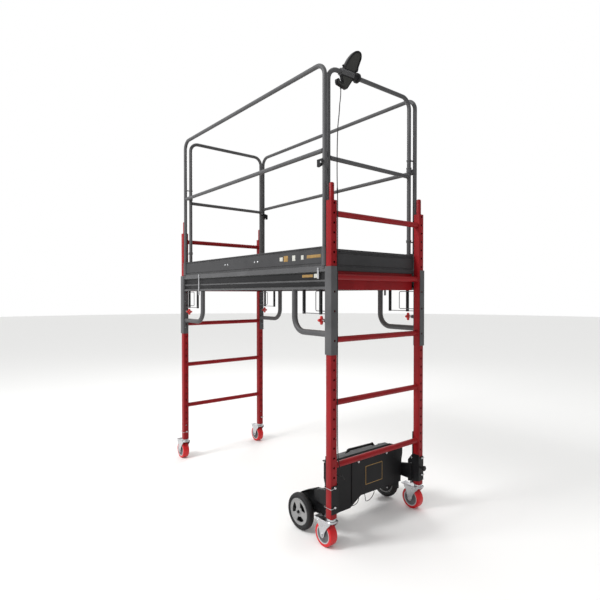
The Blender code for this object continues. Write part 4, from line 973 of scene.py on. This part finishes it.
def deck_hardware():
    """Screw heads in the deck, bolts and plain blank labels on the kick boards."""
    screws, pale, amber = Form(), Form(), Form()
    for x in (-0.79, -0.42, 0.0, 0.42, 0.79):
        for y in (-0.318, -0.1, 0.1, 0.318):
            screws.lathe(((0, 0), (0.0048, 0), (0.004, 0.001), (0, 0.0013)),
                         (x, y, DECK_TOP - 0.0002), "Z", 16)
    for side in (-1, 1):
        for middle in (-0.18, 0.19):
            for x in (middle - 0.017, middle + 0.017):
                screws.bolt((x, side * (RAIL_FACE_Y - 0.003), 1.528), (0, side, 0), 0.005, 0.0042, 12)
    screws.finish("deck_screws", ZINC, "platform")
    board, web = 0.003 - RAIL_FACE_Y, 0.0118 - RAIL_FACE_Y
    for low, high, z0, z1, face, form in (
            (0.44, 0.47, 1.518, 1.541, board, pale), (0.48, 0.52, 1.513, 1.547, board, amber),
            (0.56, 0.588, 1.514, 1.545, board, pale), (0.64, 0.662, 1.517, 1.541, board, pale),
            (0.69, 0.806, 1.521, 1.538, board, amber), (0.74, 0.774, 1.414, 1.436, web, pale),
            (0.64, 0.732, 1.418, 1.433, web, amber)):
        form.block((low, face, z0), (high, face - 0.0006, z1), 0.0002)
    pale.finish("blank_labels_pale", LABEL_PALE, "platform", slot="grey_paint")
    amber.finish("blank_labels_amber", LABEL_AMBER, "platform", slot="grey_paint")


# ---- drive ----

def drive_wheel(side):
    """A pneumatic-look tyre on a three-window rim, with a bolted inner plate."""
    name, body, centre = SIDES[side], f"drive_wheel_{SIDES[side]}", (DRIVE_X, 0, DRIVE_R)
    inner, outer = side * DRIVE_Y[0], side * DRIVE_Y[1]
    middle = (inner + outer) / 2
    tyre, rim, cuts, plate, bolts = Form(), Form(), Form(), Form(), Form()
    profile = []
    for k in range(25):
        angle = math.radians(-128 + 256 * k / 24)
        groove = 0.0014 if k in (10, 14) else 0.0
        profile.append((min(0.0865 + 0.0155 * math.cos(angle), DRIVE_R) - groove,
                        middle + side * 0.0205 * math.sin(angle)))
    tyre.lathe(profile, centre, "Y", 96)
    tyre.finish(f"tyre_{name}", RUBBER, body, [f"drive_wheel_{name}"])

    def behind(profile):
        """(radius, depth) points from the wheel's outer face."""
        return moved(profile, 0, outer, 1, -side)

    def ahead(profile):
        """(radius, depth) points from the wheel's inner face."""
        return moved(profile, 0, inner, 1, side)

    rim.lathe(behind(((0.019, 0.01), (0.019, 0.007), (0.028, 0.006), (0.056, 0.006),
                      (0.0662, 0.005), (0.0662, 0.01))), centre, "Y", 72)
    for k in range(3):
        window = []
        for radius, low, high in ((0.0275, -24, 24), (0.056, 34, -34)):
            for step in range(5):
                angle = math.radians(120 * k + 45 + low + (high - low) * step / 4)
                window.append((DRIVE_X + radius * math.cos(angle), DRIVE_R + radius * math.sin(angle)))
        cuts.plate(smooth_outline(window, 40), "Y", outer - side * 0.02, outer)
    rim.carve(cuts)
    rim.lathe(behind(((0.0655, 0.01), (0.0655, 0.005), (0.07, 0.003), (0.0735, 0.004),
                      (0.0745, 0.008))) + ahead(((0.0745, 0.008), (0.07, 0.005), (0.0655, 0.01))),
              centre, "Y", 72)
    rim.lathe(behind(((0.02, 0.015), (0.02, 0.008), (0.0165, 0.005), (0.0095, 0.0045),
                      (0.0095, 0.015))), centre, "Y", 40)
    rim.finish(f"rim_{name}", RIM, body, slot="black_rubber")
    plate.lathe(ahead(((0.0095, 0.004), (0.03, 0.004), (0.034, 0.006), (0.0655, 0.007),
                       (0.0655, 0.016), (0.0095, 0.016))), centre, "Y", 56)
    plate.finish(f"wheel_plate_{name}", BLACK, body)
    for k in range(5):
        angle = TAU * k / 5 + 0.4
        bolts.bolt((DRIVE_X + 0.048 * math.cos(angle), inner + side * 0.0066,
                    DRIVE_R + 0.048 * math.sin(angle)), (0, -side, 0), 0.004, 0.0035)
    bolts.finish(f"wheel_bolts_{name}", ZINC, body)


def gearmotor(side):
    """A gearmotor: gearbox, ribbed can, end cap and mounting foot."""
    name, centre, can = SIDES[side], (DRIVE_X, 0, DRIVE_R), 0.033
    form, inner, outer = Form(), 0.19, ARM_Y - 0.004 - FIT
    profile = [(0, inner), (0.03, inner), (can, inner + 0.003)]
    for k in range(9):
        profile += moved(((can, 0), (0.0318, 0.001), (0.0318, 0.003), (can, 0.004)),
                         0, inner + 0.008 + k * 0.006)
    profile += [(can, 0.252), (0.034, 0.254), (0.034, outer), (0, outer)]
    form.lathe(moved(profile, 0, 0, 1, side), centre, "Y", 44)
    form.rod(0.008, side * 0.3, side * (DRIVE_Y[1] + 0.0038), centre, "Y", 24)
    form.block((DRIVE_X - 0.02, side * 0.215, 0.122), (DRIVE_X + 0.058, side * 0.285, 0.1643), 0.002)
    form.finish(f"motor_{name}", BLACK, "frame", [f"gearmotor_{name}"])


def drive_details():
    """Screws, blank plate, battery seams, flange bolts, cable ring and welds on the drive."""
    screws, emblem, inlay, box, ribs, welds = (Form() for _ in range(6))
    face = COVER_X + 0.0078
    for y, z in ((-0.066, 0.363), (0.174, 0.365)):
        screws.bolt((face, y, z), (1, 0, 0), 0.0056, 0.0046, 16)
    for side in (-1, 1):
        for z in (0.205, 0.28, 0.318):
            screws.bolt((0.842, side * 0.3361, z), (0, -side, 0), 0.005, 0.004)
        for x, z in ((0.73, 0.24), (0.748, 0.15), (0.64, 0.19)):
            screws.bolt((x, side * (ARM_Y - 0.0042), z), (0, -side, 0), 0.0042, 0.0036)
    screws.finish("drive_screws", ZINC, "frame")
    border = [(-0.01, 0.215), (0.135, 0.215), (0.135, 0.325), (-0.01, 0.325)]
    emblem.plate(border, "X", face, face + 0.0012, 0.0005)
    emblem.finish("blank_plate", LABEL_AMBER, "frame", slot="black_paint")
    inlay.plate(inset(border, 0.0045), "X", face + 0.001, face + 0.0018, 0.0003)
    inlay.finish("blank_plate_face", BLACK, "frame")
    box.block((0.644, -0.1665, 0.352), (0.739, 0.1865, 0.356), 0.0012)
    for y in (-0.125, 0.145):
        box.block((0.737, y - 0.014, 0.33), (0.741, y + 0.014, 0.372), 0.0012)
    for y in (-0.07, 0.135):
        box.collar(0.009, 0.0071, -0.004, 0.004, (0.7, y, 0.4075), "Y", 20)
    box.finish("battery_trim", PLASTIC, "frame")
    for k in range(5):
        ribs.collar(0.0062 + 0.0004 * (k % 2), 0.0028, 0.0, 0.0022,
                    (COVER_X + 0.0085 + k * 0.0022, -0.25, 0.335), "X", 20, 0.0004)
    ribs.finish("cable_gland", RUBBER, "frame")
    for side in (-1, 1):
        for x, y, low, high, size in ((0.8495, 0.3395, 0.172, 0.475, 0.002),
                                      (0.769, ARM_Y + 0.0005, 0.192, 0.262, 0.0022)):
            welds.seam((x, side * y, low), (x, side * y, high), size)
        welds.seam((0.705, side * ARM_Y, 0.1895), (0.766, side * ARM_Y, 0.1895), 0.002)
    welds.finish("drive_welds", BLACK, "frame")


def clamp_knob():
    """The fluted hand knob that clamps the drive to the post."""
    form, base = Form(), POST_X + POST_SIDE / 2 + 0.0005 + 0.004 + FIT
    y, z = POST_Y - 0.009, 0.269
    form.rod(0.0048, base, base + 0.018, (0, y, z), "X", 20)
    form.lathe(moved(((0, 0.014), (0.009, 0.014), (0.011, 0.0185), (0, 0.0185)), 0, base),
               (0, y, z), "X", 24)
    form.plate(ring_points(y, z, 0.015, 56, 0.001, 7), "X", base + 0.018, base + 0.033, 0.003)
    form.finish("clamp_hand_knob", PLASTIC, "clamp_knob", ["clamp_knob"])


# ---- remote ----

def remote():
    """The rail clamp with its cable hook, the hooded housing, the joystick and the button."""
    rail, bore = (GATE_X, 0, GATE_TOP), TUBE_R + 0.001
    clamp, barrel, web = Form(), Form(), Form()
    barrel.lathe(((0.019, -0.25), (0.0205, -0.247), (0.0205, -0.212), (0.0195, -0.21),
                  (0.0195, -0.204), (0.0205, -0.202), (0.0205, -0.158), (bore, -0.158),
                  (bore, -0.25)), rail, "Y", 44)
    for y in (-0.236, -0.176):
        barrel.bolt((GATE_X + 0.02, y, GATE_TOP), (1, 0, 0), 0.0036, 0.0014, 16)
    barrel.finish("clamp_barrel", GREY, "gate_near", slot="black_plastic")
    clamp.lathe(((0.0205, -0.1575), (0.0215, -0.156), (0.0215, -0.129), (bore, -0.129),
                 (bore, -0.1575)), rail, "Y", 44)
    clamp.lathe(((0.0255, -0.13), (0.027, -0.1275), (0.027, -0.1155), (0.0255, -0.113),
                 (bore, -0.113), (bore, -0.13)), rail, "Y", 44)
    hook = [(-0.156, 2.511), (-0.18, 2.478), (-0.205, 2.443), (-0.212, 2.4395), (-0.24, 2.445),
            (-0.276, 2.4515), (-0.2805, 2.462), (-0.281, 2.477), (-0.27, 2.4835), (-0.2625, 2.4785),
            (-0.26, 2.469), (-0.247, 2.4645), (-0.236, 2.468), (-0.242, 2.492), (-0.248, 2.511)]
    steps = ((0.0012, -0.008), (0, -0.0068), (0, 0.0125), (0.001, 0.014), (0.003, 0.014),
             (0.004, 0.0115))
    clamp.skin([[(GATE_X + t, a, b) for a, b in inset(hook, depth)] for depth, t in steps])
    clamp.lathe(((0, 2.4345), (0.0035, 2.4342), (0.005, 2.436), (0.0055, 2.449), (0, 2.449)),
                (GATE_X + 0.0025, -0.2463, 0), "Z", 24)
    clamp.finish("remote_rail_clamp", PLASTIC, "gate_near", ["remote_clamp"])
    web.plate(inset(hook, 0.0048), "X", GATE_X + 0.0112, GATE_X + 0.0122, 0.0003)
    web.finish("hook_web", PANEL, "gate_near", slot="black_plastic")

    foot, low, high = GATE_TOP + 0.016 + 0.001, GATE_X - 0.018, GATE_X + 0.009
    outline = smooth_outline([
        (-0.2265, foot), (-0.217, 2.568), (-0.206, 2.588), (-0.1813, 2.6265), (-0.148, 2.663),
        (-0.123, 2.6775), (-0.103, 2.679), (-0.0895, 2.6685), (-0.0893, 2.643), (-0.101, 2.614),
        (-0.1125, 2.586), (-0.1185, 2.562), (-0.129, 2.556), (-0.131, foot)], 60, closed=False)
    shell, cuts, face, lever, cap = (Form() for _ in range(5))
    steps = ((0.0045, low), (0.0012, low + 0.0015), (0, low + 0.005), (0, high - 0.005),
             (0.0012, high - 0.0015), (0.0028, high), (0.0072, high), (0.0088, high - 0.0055))
    shell.skin([[(t, a, b) for a, b in inset(outline, depth)] for depth, t in steps])
    stick = Vector((low, -0.148, 2.618))
    button, slope = Vector(((low + high) / 2, -0.2185, 2.5677)), Vector((0, -0.874, 0.486))
    cuts.rod(0.016, -0.002, 0.011, stick, "X", 32)
    cuts.tube([button + slope * t for t in (-0.01, 0.016)], 0.0064, 24)
    shell.carve(cuts)
    shell.finish("remote_shell", PLASTIC, "gate_near", ["remote_housing"])
    face.plate(inset(outline, 0.0095), "X", high - 0.0058, high - 0.004, 0.0006)
    face.finish("remote_face", PANEL, "gate_near", slot="black_plastic")
    lever.lathe(((0, 0.005), (0.005, 0.0045), (0.009, 0.002), (0.0108, -0.001), (0.01, -0.004),
                 (0.0088, -0.0045), (0.0088, -0.007), (0.0076, -0.008), (0.0076, -0.0105),
                 (0.0062, -0.0115), (0.0062, -0.014), (0.0042, -0.016), (0.0042, -0.03),
                 (0.008, -0.0335), (0.009, -0.037), (0.0088, -0.041), (0.006, -0.045),
                 (0, -0.046)), stick + Vector((0.004, 0, 0)), "X", 32)
    lever.finish("joystick_lever", RUBBER, "joystick", ["joystick"])
    cap.lathe(((0, -0.0055), (0.0055, -0.0055), (0.0055, 0.0065), (0.0047, 0.008),
               (0.0025, 0.0085), (0, 0.0086)), button, slope, 28)
    cap.finish("button_cap", PLASTIC, "enable_button", ["enable_button"])


# ---- the scene ----

studio()
cords()
finish_nodes()
for END in ENDS:
    end_frame(END)
for END in ENDS:
    for SIDE in SIDES:
        caster(END, SIDE)
        lock_pin(END, SIDE)
for SIDE in SIDES:
    side_bracket(SIDE)
    guardrail(SIDE)
    drive_wheel(SIDE)
    gearmotor(SIDE)
for END in ENDS:
    gate(END)
toe_boards()
deck_hardware()
drive_details()
clamp_knob()
remote()

bpy.context.view_layer.update()
